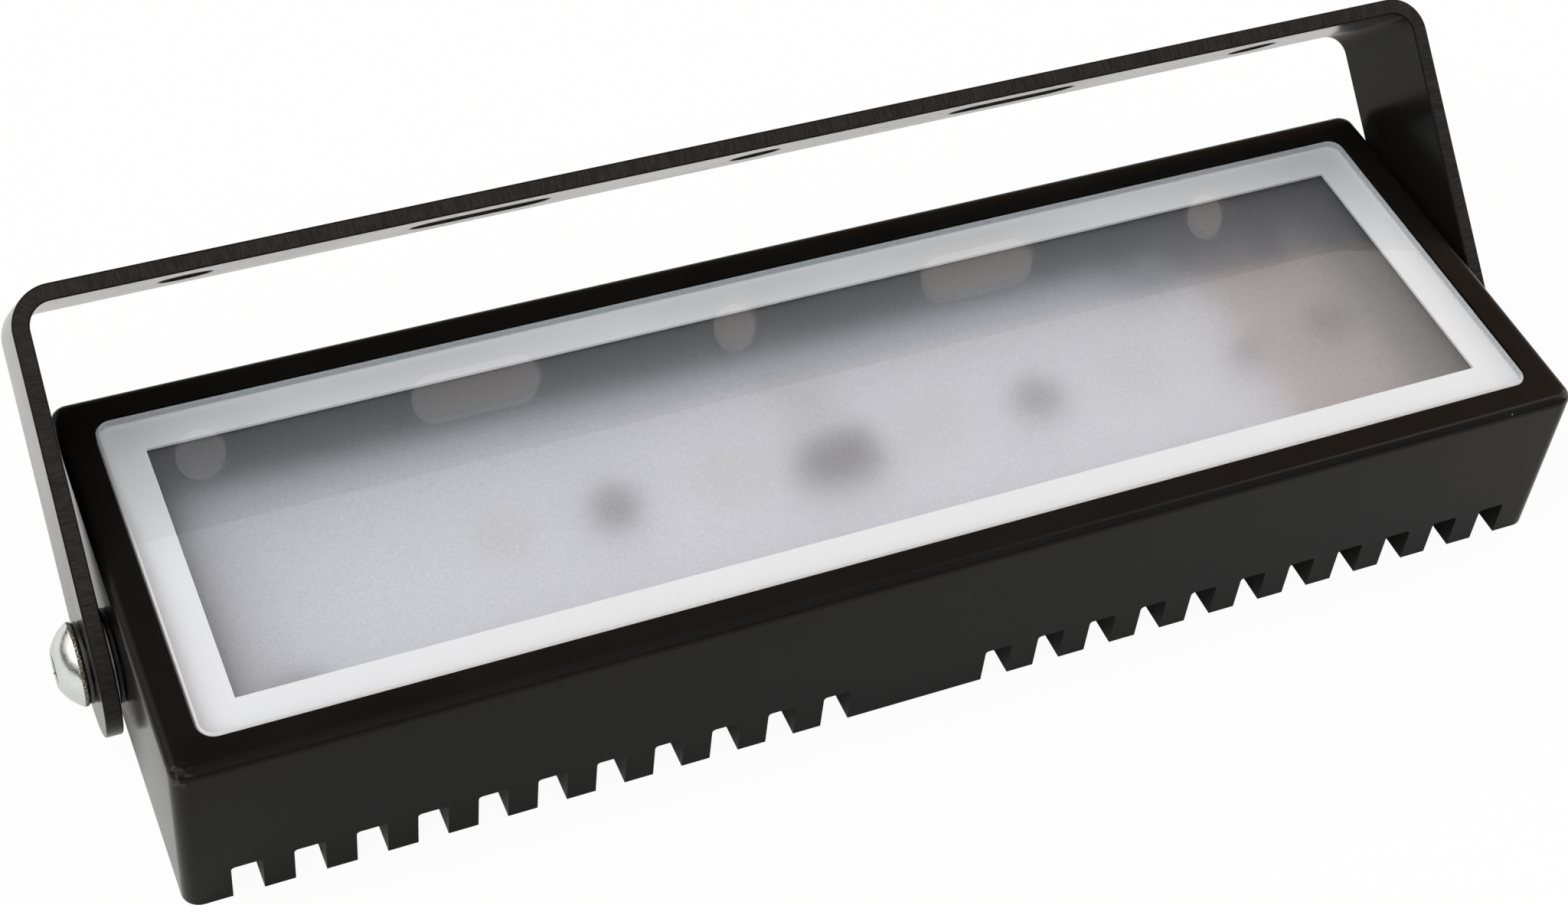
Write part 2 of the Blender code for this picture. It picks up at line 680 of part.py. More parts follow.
def make_supply(finishes):
    """The terminal on the board and the two leads from the connector."""
    terminal_size = (TERMINAL_LENGTH, TERMINAL_WIDTH, TERMINAL_HEIGHT)
    terminal = block("wire_terminal", terminal_size, on_board(TERMINAL_PLACE_SHARES), PART_SEAT,
                     TERMINAL_EDGE_RADIUS, finishes["moulding"])
    entries = []
    entry_y = terminal_back()
    for side in (-1, 1):
        x = side * LEAD_SPACING / 2
        entries.append(rod(
            "entry", LEAD_RADIUS + LEAD_HOLE_GAP,
            (x, entry_y - TERMINAL_HOLE_DEPTH, lead_height()),
            (x, entry_y + CUT_OVERRUN, lead_height()), steps=SCREW_STEPS))
    cut(terminal, joined("terminal_cutter", entries))
    make_lead("supply_lead_positive", -LEAD_SPACING / 2, finishes["insulation"])
    make_lead("supply_lead_negative", LEAD_SPACING / 2, finishes["insulation"])


def make_connector(finishes):
    """The plug-in connector: shell, pin carrier, pins and the seal under its hexagon."""
    seat_y = HOUSING_WIDTH / 2
    hex_seat = SEAL_GAP + SEAL_THICKNESS + SEAL_GAP
    hex_top = hex_seat + CONNECTOR_HEX_THICKNESS
    rim = hex_top + CONNECTOR_THREAD_LENGTH
    shell = turned("connector_shell", [
        (CONNECTOR_BACK_RADIUS, -CONNECTOR_WALL_LENGTH),
        (CONNECTOR_THREAD_RADIUS, -CONNECTOR_WALL_LENGTH),
        (CONNECTOR_THREAD_RADIUS, hex_seat),
        (CONNECTOR_HEX_APOTHEM, hex_seat, HEXAGON),
        (CONNECTOR_HEX_APOTHEM, hex_top, HEXAGON),
        (CONNECTOR_THREAD_RADIUS, hex_top),
        (CONNECTOR_THREAD_RADIUS, rim - CONNECTOR_CHAMFER),
        (CONNECTOR_THREAD_RADIUS - CONNECTOR_CHAMFER, rim),
        (CONNECTOR_INNER_RADIUS, rim),
        (CONNECTOR_INNER_RADIUS, hex_seat),
        (CONNECTOR_BACK_RADIUS, hex_seat),
    ], finishes["nickel"], closed=True)
    put(shell, (0, seat_y, CONNECTOR_HEIGHT), turn_x=TO_REAR)

    carrier_front = hex_seat - INSERT_GAP
    carrier = turned("connector_pin_carrier", [
        (0, carrier_front - INSERT_THICKNESS),
        (CONNECTOR_BACK_RADIUS - INSERT_GAP, carrier_front - INSERT_THICKNESS),
        (CONNECTOR_BACK_RADIUS - INSERT_GAP, carrier_front),
        (0, carrier_front),
    ], finishes["moulding"])
    put(carrier, (0, seat_y, CONNECTOR_HEIGHT), turn_x=TO_REAR)

    tail = connector_back()
    tip = seat_y + carrier_front + PIN_FREE_LENGTH
    passages = []
    for index in range(PIN_COUNT):
        angle = math.tau * (index + 1 / 2) / PIN_COUNT
        x = PIN_CIRCLE_RADIUS * math.cos(angle)
        z = CONNECTOR_HEIGHT + PIN_CIRCLE_RADIUS * math.sin(angle)
        rod(f"connector_pin_{index + 1}", PIN_RADIUS, (x, tail, z), (x, tip, z),
            finishes["gold"], steps=PIN_STEPS)
        passages.append(rod(
            "passage", PIN_RADIUS + PIN_HOLE_GAP,
            (x, tail - CUT_OVERRUN, z), (x, tip + CUT_OVERRUN, z), steps=PIN_STEPS))
    cut(carrier, joined("pin_passages_cutter", passages))

    seal = ring(
        "connector_seal", CONNECTOR_THREAD_RADIUS + SEAL_GAP, CONNECTOR_HEX_APOTHEM,
        SEAL_THICKNESS, finishes["rubber"])
    put(seal, (0, seat_y + SEAL_GAP, CONNECTOR_HEIGHT), turn_x=TO_REAR)


def bracket_outline():
    """The U seen along the width of the sheet: X along the crossbar, Y along the legs."""
    inner_radius = BRACKET_INNER_BEND_RADIUS
    outer_radius = inner_radius + BRACKET_THICKNESS
    bend_x = LEG_INNER_FACE - inner_radius
    bend_y = BRACKET_REACH - outer_radius
    leg_end = -BRACKET_WIDTH / 2
    outer = [(LEG_OUTER_FACE, leg_end)]
    inner = [(LEG_INNER_FACE, leg_end)]
    for side, start in ((1, 0), (-1, math.pi / 2)):
        for step in range(BEND_STEPS + 1):
            angle = start + math.pi / 2 * step / BEND_STEPS
            outer.append((
                side * bend_x + outer_radius * math.cos(angle),
                bend_y + outer_radius * math.sin(angle)))
            inner.append((
                side * bend_x + inner_radius * math.cos(angle),
                bend_y + inner_radius * math.sin(angle)))
    outer.append((-LEG_OUTER_FACE, leg_end))
    inner.append((-LEG_INNER_FACE, leg_end))
    return outer + inner[::-1]


def leg_end_cutter():
    """What rounds both leg ends about the pivot axis."""
    radius = BRACKET_WIDTH / 2
    reach = radius + CUT_OVERRUN
    points = [(0, reach), (0, radius)]
    for step in range(1, LEG_END_STEPS):
        angle = math.pi / 2 + math.pi * step / LEG_END_STEPS
        points.append((radius * math.cos(angle), radius * math.sin(angle)))
    points += [(0, -radius), (0, -reach), (-reach, -reach), (-reach, reach)]
    side = LEG_OUTER_FACE + CUT_OVERRUN
    return skin("leg_end", [[(x, y, z) for y, z in points] for x in (-side, side)], None)


def crossbar_cutter(middle, length):
    """One round or slotted hole through the crossbar."""
    radius = MOUNTING_HOLE_RADIUS
    straight = length / 2 - radius
    outline = []
    for side, start in ((1, -math.pi / 2), (-1, math.pi / 2)):
        for step in range(HOLE_STEPS // 2 + 1):
            angle = start + math.pi * step / (HOLE_STEPS // 2)
            outline.append((
                middle + side * straight + radius * math.cos(angle),
                radius * math.sin(angle)))
    if straight == 0:
        outline = [
            (middle + radius * math.cos(angle), radius * math.sin(angle))
            for angle in (math.tau * step / HOLE_STEPS for step in range(HOLE_STEPS))
        ]
    near = BRACKET_REACH - BRACKET_THICKNESS - CUT_OVERRUN
    far = BRACKET_REACH + CUT_OVERRUN
    return skin("hole", [[(x, y, z) for x, z in outline] for y in (near, far)], None)


def make_bracket(finish):
    """The U bracket, made flat about its pivot axis and then tilted."""
    outline = bracket_outline()
    half = BRACKET_WIDTH / 2
    bracket = skin(
        "mounting_bracket", [[(x, y, z) for x, y in outline] for z in (-half, half)], finish)
    cutters = [leg_end_cutter()]
    reach = LEG_OUTER_FACE + CUT_OVERRUN
    cutters.append(rod(
        "pivot_hole", BOLT_RADIUS + BOLT_CLEARANCE, (-reach, 0, 0), (reach, 0, 0)))
    hole_length = 2 * MOUNTING_HOLE_RADIUS
    for middle in (-MOUNTING_HOLE_OFFSET, 0, MOUNTING_HOLE_OFFSET):
        cutters.append(crossbar_cutter(middle, hole_length))
    for middle in (-SLOT_OFFSET, SLOT_OFFSET):
        cutters.append(crossbar_cutter(middle, SLOT_LENGTH))
    cutter = joined("bracket_cutter", cutters)
    cut(bracket, cutter)
    for item in (bracket, cutter):
        put(item, (0, 0, PIVOT_HEIGHT), turn_x=BRACKET_TILT)


def head_dome():
    """The dome of a bolt's head: part of a sphere about its axis, from the rim to the flat top."""
    rise = HEAD_HEIGHT - HEAD_RIM_HEIGHT
    middle = (HEAD_HEIGHT + HEAD_RIM_HEIGHT) / 2
    centre = middle - (HEAD_RADIUS ** 2 - HEAD_FLAT_RADIUS ** 2) / (2 * rise)
    radius = math.hypot(HEAD_RADIUS, HEAD_RIM_HEIGHT - centre)
    low = math.atan2(HEAD_RIM_HEIGHT - centre, HEAD_RADIUS)
    high = math.atan2(HEAD_HEIGHT - centre, HEAD_FLAT_RADIUS)
    points = []
    for step in range(DOME_STEPS + 1):
        angle = low + (high - low) * step / DOME_STEPS
        points.append((radius * math.cos(angle), centre + radius * math.sin(angle)))
    return points


def bolt_profile():
    """Half the section of a pivot bolt, from its tip to the floor of its hexagon socket."""
    return [
        (0, -BOLT_LENGTH),
        (BOLT_RADIUS - BOLT_TIP_CHAMFER, -BOLT_LENGTH),
        (BOLT_RADIUS, -BOLT_LENGTH + BOLT_TIP_CHAMFER),
        (BOLT_RADIUS, 0),
        (HEAD_RADIUS, 0),
        *head_dome(),
        (HEX_SOCKET_APOTHEM, HEAD_HEIGHT, HEXAGON),
        (HEX_SOCKET_APOTHEM, HEAD_HEIGHT - HEX_SOCKET_DEPTH, HEXAGON),
        (0, HEAD_HEIGHT - HEX_SOCKET_DEPTH - HEX_SOCKET_CONE_DEPTH),
    ]


def make_pivot(side, name, finishes):
    """One pivot: insert in the housing, two inner washers, head washer and bolt."""
    bore_radius = BOLT_RADIUS + BOLT_CLEARANCE
    end_face = HOUSING_LENGTH / 2
    friction_seat = end_face + STACK_GAP
    spacer_seat = LEG_INNER_FACE - STACK_GAP - SPACER_THICKNESS
    washer_seat = LEG_OUTER_FACE + STACK_GAP
    head_seat = washer_seat + HEAD_WASHER_THICKNESS + STACK_GAP
    insert_seat = end_face - STACK_GAP - THREAD_INSERT_LENGTH
    pieces = (
        (ring("thread_insert_" + name, bore_radius, bore_radius + THREAD_INSERT_WALL,
              THREAD_INSERT_LENGTH, finishes["steel"]), insert_seat),
        (ring("friction_washer_" + name, bore_radius, FRICTION_WASHER_RADIUS,
              FRICTION_WASHER_THICKNESS, finishes["moulding"]), friction_seat),
        (ring("spacer_washer_" + name, bore_radius, SPACER_RADIUS,
              SPACER_THICKNESS, finishes["zinc"]), spacer_seat),
        (ring("head_washer_" + name, bore_radius, HEAD_WASHER_RADIUS,
              HEAD_WASHER_THICKNESS, finishes["steel"]), washer_seat),
        (turned("pivot_bolt_" + name, bolt_profile(), finishes["zinc"]), head_seat),
    )
    for piece, seat in pieces:
        put(piece, (side * seat, 0, PIVOT_HEIGHT), turn_y=outwards(side))


def main():
    for item in list(bpy.data.objects):
        bpy.data.objects.remove(item, do_unlink=True)
    finishes = make_materials()
    make_housing(finishes["powder_coat"])
    make_window(finishes)
    make_board(finishes)
    make_leds(finishes)
    make_regulator(finishes)
    make_supply(finishes)
    make_connector(finishes)
    make_bracket(finishes["powder_coat"])
    make_pivot(-1, "left", finishes)
    make_pivot(1, "right", finishes)


main()
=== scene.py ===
"""Looks of the machine work light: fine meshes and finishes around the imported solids.

Metres, +Z up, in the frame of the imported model. X runs along the housing and Y to the rear.
"""

import json
import math

import bmesh
import bpy
from mathutils import Matrix, Vector


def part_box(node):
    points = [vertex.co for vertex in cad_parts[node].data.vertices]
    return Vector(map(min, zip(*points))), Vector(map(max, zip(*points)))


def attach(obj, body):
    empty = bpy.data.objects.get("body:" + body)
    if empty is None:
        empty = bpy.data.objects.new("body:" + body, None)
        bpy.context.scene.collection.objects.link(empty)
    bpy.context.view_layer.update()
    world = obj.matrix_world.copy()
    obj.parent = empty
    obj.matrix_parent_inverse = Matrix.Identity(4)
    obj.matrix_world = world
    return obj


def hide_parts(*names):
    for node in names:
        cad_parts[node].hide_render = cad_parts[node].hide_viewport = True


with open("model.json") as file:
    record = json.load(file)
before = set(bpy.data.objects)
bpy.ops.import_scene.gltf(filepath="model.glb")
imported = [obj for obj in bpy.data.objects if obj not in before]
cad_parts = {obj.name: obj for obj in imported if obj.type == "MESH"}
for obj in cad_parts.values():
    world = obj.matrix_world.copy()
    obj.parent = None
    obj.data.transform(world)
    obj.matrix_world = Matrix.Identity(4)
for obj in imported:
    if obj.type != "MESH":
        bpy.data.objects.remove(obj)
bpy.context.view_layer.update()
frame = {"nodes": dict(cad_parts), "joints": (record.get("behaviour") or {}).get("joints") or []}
JOINT = frame["joints"][0]

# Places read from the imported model
HOUSING_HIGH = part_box("housing")[1]
GLASS_LOW, GLASS_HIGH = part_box("safety_glass")
GASKET_LOW, GASKET_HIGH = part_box("window_gasket")
SHEET_LOW, SHEET_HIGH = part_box("diffuser_sheet")
BOARD_LOW, BOARD_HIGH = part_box("led_board")
BRACKET_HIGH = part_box("mounting_bracket")[1]
SHELL_LOW, SHELL_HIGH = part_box("connector_shell")
PIVOT = Vector(JOINT["pos_m"])

# Housing
CORNER_RADIUS = 0.003
TOP_FILLET = 0.0018
RIM_WIDTH = 0.0058
SEAT_DEPTH = 0.0046
SEAT_WIDTH = 0.0067
CAVITY_DEPTH = 0.0138
CAVITY_CORNER_RADIUS = 0.002
CHANNEL_WIDTH = 0.005
CHANNEL_HEIGHT = 0.0074
CHANNEL_PITCH = 0.010
CHANNEL_TOP_RADIUS = 0.0006
CHANNELS_PER_SIDE = 11
CENTRE_BLOCK_LENGTH = 0.025
HOUSING_EDGE = 0.00022
POCKET_LENGTH = 0.016
POCKET_WIDTH = 0.017
POCKET_DEPTH = 0.0085
POCKET_CORNER_RADIUS = 0.002
CONNECTOR_BORE_RADIUS = 0.0062
CONNECTOR_BORE_START = 0.0015
BOLT_BORE_RADIUS = 0.0052
BOLT_BORE_DEPTH = 0.0114
SCREW_BORE_RADIUS = 0.0016
SCREW_BORE_DEPTH = 0.0055

# Window
GLASS_RADIUS = 0.0028
GLASS_CHAMFER = 0.0004
RECESS_RADIUS = 0.0031
GASKET_WIDTH = 0.0073
GASKET_INNER_RADIUS = 0.0001

# Bracket, in its own frame: X along the crossbar, Y along the legs, Z across the sheet's width
THICKNESS = 0.0028
BRACKET_WIDTH = 0.025
REACH = 0.0592
INNER_BEND_RADIUS = 0.0040
TILT = math.radians(42.0)
PIVOT_HOLE_RADIUS = 0.0041
HOLE_RADIUS = 0.0045
HOLE_PLACES = (-0.100, 0.0, 0.100)
SLOT_PLACES = (-0.050, 0.050)
SLOT_LENGTH = 0.0245
BRACKET_EDGE = 0.00028
CUT_EDGE_SLOPE = 0.35

# Bolts and washers
BOLT_RADIUS = 0.0039
BOLT_LENGTH = 0.016
HEAD_RADIUS = 0.0069
HEAD_RIM_HEIGHT = 0.00085
HEAD_HEIGHT = 0.0041
HEAD_FLAT_RADIUS = 0.0031
HEX_APOTHEM = 0.0025
HEX_DEPTH = 0.0026
HEX_CONE_DEPTH = 0.0006
HEX_LIP = 0.00012
HEX_MOUTH_DEPTH = 0.0002
HEX_LEAD_IN = 0.0005
HEAD_EDGE = 0.0003
RIM_SHARE = 0.9
BOLT_TIP_CHAMFER = 0.0008
BOLT_PLAIN_LENGTH = 0.0014
BOLT_NECK = 0.0003
BOLT_THREAD_DEPTH = 0.0006
BOLT_PITCH = 0.00125
WASHER_BORE = 0.0041
WASHER_EDGE = 0.00012

# Connector
THREAD_RADIUS = 0.0060
THREAD_PITCH = 0.001
THREAD_DEPTH = 0.00055
THREAD_SLOPE = 3.2
THREAD_RELIEF = 0.0006
THREAD_START = 0.0008
THREAD_FREE_LENGTH = 0.0013
HEX_FLANGE_APOTHEM = 0.0070
HEX_FLANGE_THICKNESS = 0.0022
CONNECTOR_INNER_RADIUS = 0.0046
CONNECTOR_BACK_RADIUS = 0.0050
CONNECTOR_GAP = 0.0002
CONNECTOR_CHAMFER = 0.0004
CONNECTOR_EDGE = 0.0001
NUT_CORNER_SHARE = 1.07
PIN_STEPS = 24
PIN_TIP_STEPS = 6
SEAL_EDGE = 0.00015
REARWARD = -math.pi / 2

# Fineness
CORNER_STEPS = 12
FILLET_STEPS = 7
ROUND_STEPS = 72
BEND_STEPS = 14
ARC_STEPS = 10
DOME_STEPS = 16
THREAD_ROWS = 8
LEG_END_STEPS = 48
HOLE_STEPS = 32
EDGE_SEGMENTS = 2
OVERRUN = 0.001
SHARP_ANGLE = math.radians(33)

# Window and board details
PANE_FACE_SLOPE = 0.9
CHAMFER_SLOPE = 0.1
GASKET_EDGE = 0.00005
LIFT = 0.00002
BOARD_RADIUS = 0.0015
BOARD_EDGE = 0.0001
CUTOUT_LENGTH = 0.008
CUTOUT_WIDTH = 0.006
CUTOUT_RADIUS = 0.001
CUTOUT_SHARE = 0.58
SCREW_HEAD_HEIGHT = 0.0021
SCREW_SHANK_RADIUS = 0.0014
SCREW_CROWN_RADIUS = 0.0012
SOCKET_MOUTH = 0.0011
SOCKET_APOTHEM = 0.0010
SOCKET_DEPTH = 0.0012
SOCKET_TIP = 0.0013
RING_RADIUS = 0.0043
RING_GAP = 0.00005
RING_THICKNESS = 0.0007
BASE_RADIUS = 0.0004
BASE_EDGE = 0.00008
LENS_SIDE = 0.0003
BLOCK_RADIUS = 0.0003
BLOCK_EDGE = 0.0001
SEALANT_LAP = 0.0012
SEALANT_RADIUS = 0.0015
SEALANT_HEIGHT = 0.0016
SEALANT_EDGE = 0.0006
FOOT_LAP = 0.0036
FOOT_SIDE_LAP = 0.0004
FOOT_HEIGHT = 0.0014
FOOT_EDGE = 0.0002
CARD_LENGTH = 0.0255
CARD_RADIUS = 0.001
CARD_INSET = 0.0006
CARD_THICKNESS = 0.0003
CARD_EDGE = 0.00005
SENSOR_PLACE = (0.081, -0.0025)
SENSOR_LENGTH = 0.005
SENSOR_WIDTH = 0.004
SENSOR_HEIGHT = 0.0016
SENSOR_EDGE = 0.00015
COIL_WAIST_DEPTH = 0.0009
COIL_FLANGE = 0.0007
COIL_TURNS = 6
COIL_TURN_ROWS = 6
COIL_BULGE = 0.00012
# The can's outline from below and from above, as inset and height
CAN_FOOT = ((0.0003, 0), (0, 0.0003), (0, 0.0008), (0.0002, 0.0011), (0, 0.0014))
CAN_TOP = ((0, 0.0004), (0.0001, 0.00015), (0.0004, 0))
LEAD_RADIUS = 0.0007
LEAD_SPACING = 0.0034
LEAD_BEND = 0.0022
LEAD_STEPS = 8
LEAD_BEVEL_STEPS = 5
TERMINAL_RADIUS = 0.0005
TERMINAL_EDGE = 0.00012
WIRE_ENTRY_GAP = 0.00025
WIRE_ENTRY_DEPTH = 0.0030
WELL_RADIUS = 0.0010
WELL_DEPTH = 0.0008
WELL_OFFSET = 0.0018

# Finishes: tones, gloss, and patterns by how many features lie in a metre
COAT = (0.0072, 0.0067, 0.0062)
BRACKET_COAT = (0.0080, 0.0074, 0.0068)
EDGE_DARK = (0.017, 0.0146, 0.0127)
EDGE_LIGHT = (0.032, 0.0274, 0.0236)
COAT_SPECULAR = 0.07
COAT_ROUGHNESS = 0.25
SHEEN_IOR = 1.108
BRACKET_SHEEN_IOR = 1.090
SHEEN_ROUGHNESS = 0.21
DUST_COLOUR = (0.30, 0.29, 0.27)
WORN_COLOUR = (0.075, 0.066, 0.060)
WEAR_REACH = 0.0040
SHEET_DARK = (0.72, 0.735, 0.79)
SHEET_LIGHT = (0.98, 0.99, 1.0)
BOARD_DARK = (0.86, 0.875, 0.90)
BOARD_LIGHT = (0.93, 0.945, 0.97)
NOISE_SPAN = (0.3, 0.7)
FINE_BUMP = 0.00003
COAT_SHADES = (0.75, 1.3)
METAL_SHADES = (0.85, 1.12)
MOULDING_SCALE = 1800.0
MOTTLE_SCALE = 60.0
PEEL_SCALE = 1500.0
SCUFF_SCALE = 1400.0
COAT_DUST = (180.0, 0.035, 0.10)
SHEET_DUST = (160.0, 0.03, 0.12)
SCUFF_SPAN = (0.50, 0.62)
CUT_SPAN = (0.40, 0.62)
CUT_BUMP = 0.00006
CUT_LINE_SCALE = 3700.0
CUT_WAVE_SCALE = 500.0
GRIT_SCALE = 3000.0
GRAIN_SCALE = 3600.0
PIT_SCALE = 4200.0
PIT_SPAN = (0.45, 0.62)
PIT_DARK = (0.06, 0.05, 0.04)
PIT_LIGHT = (0.50, 0.46, 0.38)
PIT_BUMP = 0.0001
HAZE_SCALE = 25.0
BOARD_CLOUD_SCALE = 90.0
GLASS_IOR = 1.50
SHEET_IOR = 1.35
SHEET_TRANSMISSION = 0.955
SHEET_ROUGHNESS = 0.62
TRACK_LENGTH = 0.040
TRACK_WIDTH = 0.0125
TRACK_GAP = 0.0006
TRACK_HEIGHT = 0.00004
GROOVE_COLOUR = (0.7, 0.7, 0.66)

# Stage, light and camera
FLOOR_REACH = 3.0
FLOOR_HEIGHT = -0.00005
FLOOR_BOTTOM = -0.001
FLOOR_GLOW = 0.95
FLOOR_GLOSSY_GLOW = 0.04
FLOOR_COLOUR = (0.92, 0.92, 0.92)
SKY_BAND = (0.08, 0.30)
SKY_HORIZON = (0.06, 0.06, 0.06)
SKY_CEILING = (0.54, 0.51, 0.50)
# Dark and bright patches of the sky: direction, full and outer radius in degrees, tone
SKY_SHADES = (
    ((0.02, 0.67, 0.74), 16, 32, (0.12, 0.10, 0.08)),
    ((0.55, 0.50, 0.67), 12, 28, (0.46, 0.27, 0.14)),
)
SKY_PATCHES = (
    ((-0.62, 0.00, 0.79), 18, 40, (1.66, 1.78, 1.77)),
    ((-0.65, 0.55, 0.53), 14, 30, (0.70, 0.62, 0.58)),
    ((0.90, 0.00, 0.43), 16, 32, (1.40, 1.52, 1.70)),
    ((-0.07, -0.76, 0.64), 14, 30, (0.30, 0.30, 0.30)),
    ((0.55, 0.05, 0.84), 4, 10, (4.4, 4.0, 3.7)),
)
CAMERA_SENSOR_WIDTH = 36.0
CAMERA_CLIP = (0.01, 50.0)
CAMERA_PLACE = (-0.16554856, -0.29232747, 0.37956298)
CAMERA_TURN = (43.68864, -5.40243, -23.37961)
CAMERA_LENS = 65.2235
CAMERA_SHIFT = (-0.0236161, -0.028818)

# Derived places
HALF_LENGTH = HOUSING_HIGH.x
HALF_WIDTH = HOUSING_HIGH.y
HEIGHT = HOUSING_HIGH.z
RECESS_HALF_LENGTH = HALF_LENGTH - RIM_WIDTH
RECESS_HALF_WIDTH = HALF_WIDTH - RIM_WIDTH
CAVITY_HALF_LENGTH = RECESS_HALF_LENGTH - SEAT_WIDTH
CAVITY_HALF_WIDTH = RECESS_HALF_WIDTH - SEAT_WIDTH
SEAT_HEIGHT = HEIGHT - SEAT_DEPTH
CAVITY_FLOOR = SEAT_HEIGHT - CAVITY_DEPTH
CUTOUT_MIDDLE = CUTOUT_SHARE * BOARD_HIGH.y
CONNECTOR_HEIGHT = (SHELL_LOW.z + SHELL_HIGH.z) / 2
LEG_OUTER = BRACKET_HIGH.x
LEG_INNER = LEG_OUTER - THICKNESS
BEND_X = LEG_INNER - INNER_BEND_RADIUS
BEND_Y = REACH - THICKNESS - INNER_BEND_RADIUS


# Mesh making

def new_object(name, data):
    """An object of its own in the scene."""
    result = bpy.data.objects.new(name, data)
    bpy.context.scene.collection.objects.link(result)
    return result


def loft(name, loops, closed=False):
    """A skin from loop to loop; a loop of one point is a tip. A closed one is a ring."""
    mesh = bmesh.new()
    rows = [[mesh.verts.new(point) for point in loop] for loop in loops]
    pairs = list(zip(rows, rows[1:]))
    if closed:
        pairs.append((rows[-1], rows[0]))
    for lower, upper in pairs:
        count = max(len(lower), len(upper))
        for index in range(count):
            following = (index + 1) % count
            corners = [lower[index], lower[following]] if len(lower) > 1 else [lower[0]]
            corners += [upper[following], upper[index]] if len(upper) > 1 else [upper[0]]
            mesh.faces.new(corners)
    if not closed:
        for row in (rows[0], rows[-1]):
            if len(row) > 1:
                mesh.faces.new(row)
    bmesh.ops.recalc_face_normals(mesh, faces=mesh.faces)
    data = bpy.data.meshes.new(name)
    mesh.to_mesh(data)
    mesh.free()
    data.shade_smooth()
    return new_object(name, data)


def rounded(half_x, half_y, radius, centre=(0.0, 0.0)):
    """The outline of a rectangle with rounded corners."""
    points = []
    for quarter, (side_x, side_y) in enumerate(((1, -1), (1, 1), (-1, 1), (-1, -1))):
        for step in range(CORNER_STEPS + 1):
            angle = math.pi / 2 * (quarter - 1 + step / CORNER_STEPS)
            points.append((
                centre[0] + side_x * (half_x - radius) + radius * math.cos(angle),
                centre[1] + side_y * (half_y - radius) + radius * math.sin(angle)))
    return points


def sweep(start, turn, steps):
    """The angles of an arc, from its start by its turn."""
    return [start + turn * step / steps for step in range(steps + 1)]


def bend(centre, radius, start, turn, steps):
    """The points of an arc about a centre, from its start angle by its turn."""
    return [
        (centre[0] + radius * math.cos(angle), centre[1] + radius * math.sin(angle))
        for angle in sweep(start, turn, steps)]


def level(outline, height):
    """An outline in X and Y, laid at a height."""
    return [(x, y, height) for x, y in outline]


def turned(name, profile, closed=False, steps=ROUND_STEPS):
    """A solid turned about Z. A radius may be a function of the angle."""
    loops = []
    for radius, height in profile:
        if radius == 0:
            loops.append([(0, 0, height)])
            continue
        loop = []
        for angle in sweep(0, math.tau, steps)[:-1]:
            reach = radius(angle) if callable(radius) else radius
            loop.append((reach * math.cos(angle), reach * math.sin(angle), height))
        loops.append(loop)
    return loft(name, loops, closed)


def tube(name, inner, outer, bottom, top):
    """A ring of a square section about Z."""
    return turned(name, [(inner, bottom), (outer, bottom), (outer, top), (inner, top)], True)


def hexagon(apothem, limit=math.inf):
    """The radius of a hexagon by angle, its corners turned down to a limit."""
    def radius(angle):
        off_flat = (angle + math.pi / 6) % (math.pi / 3) - math.pi / 6
        return min(apothem / math.cos(off_flat), limit)
    return radius


def rod(radius, start, end):
    """A cylinder between two points, as a cutter."""
    start = Vector(start)
    direction = Vector(end) - start
    result = turned("cutter", [(radius, 0), (radius, direction.length)])
    result.location = start
    result.rotation_euler = direction.to_track_quat("Z", "Y").to_euler()
    return result


def upright(radius, place, bottom, top):
    """An upright cylinder, as a cutter."""
    return rod(radius, (*place, bottom), (*place, top))


def prism(outline, bottom, top, name="cutter"):
    """An outline given a height."""
    return loft(name, [level(outline, bottom), level(outline, top)])


def through(outline, near, far):
    """An outline in X and Z carried along Y, as a cutter."""
    return loft("cutter", [[(x, y, z) for x, z in outline] for y in (near, far)])


def joined(parts):
    """Separate cutters as one, each as it lies."""
    mesh = bmesh.new()
    for part in parts:
        data = part.data.copy()
        placed = part.rotation_euler.to_matrix().to_4x4()
        placed.translation = part.location
        data.transform(placed)
        mesh.from_mesh(data)
        bpy.data.meshes.remove(data)
        bpy.data.objects.remove(part)
    data = bpy.data.meshes.new("cutters")
    mesh.to_mesh(data)
    mesh.free()
    return new_object("cutters", data)


def cut(item, cutter):
    """Takes the cutter out of the item once it settles."""
    modifier = item.modifiers.new("cut", "BOOLEAN")
    modifier.operation = "DIFFERENCE"
    modifier.solver = "EXACT"
    modifier.object = cutter


def ease(item, width):
    """Rounds every sharp edge of the item once it settles."""
    modifier = item.modifiers.new("edges", "BEVEL")
    modifier.width = width
    modifier.segments = EDGE_SEGMENTS
    modifier.limit_method = "ANGLE"
    modifier.angle_limit = SHARP_ANGLE
    modifier.harden_normals = True


def settle(item, finishes):
    """Makes the item's modifiers part of its mesh, drops its cutters and gives it finishes."""
    cutters = [modifier.object for modifier in item.modifiers if modifier.type == "BOOLEAN"]
    graph = bpy.context.evaluated_depsgraph_get()
    data = bpy.data.meshes.new_from_object(item.evaluated_get(graph))
    item.modifiers.clear()
    item.data = data
    for cutter in cutters:
        bpy.data.objects.remove(cutter)
    data.polygons.foreach_set("material_index", [0] * len(data.polygons))
    data.materials.clear()
    for finish in finishes:
        data.materials.append(FINISHES[finish])


def place_along(item, location, turn_x=0.0, turn_y=0.0):
    """Places an item that was made about Z, with Z turned to the rear or to a side."""
    item.location = location
    item.rotation_euler = (turn_x, turn_y, 0)


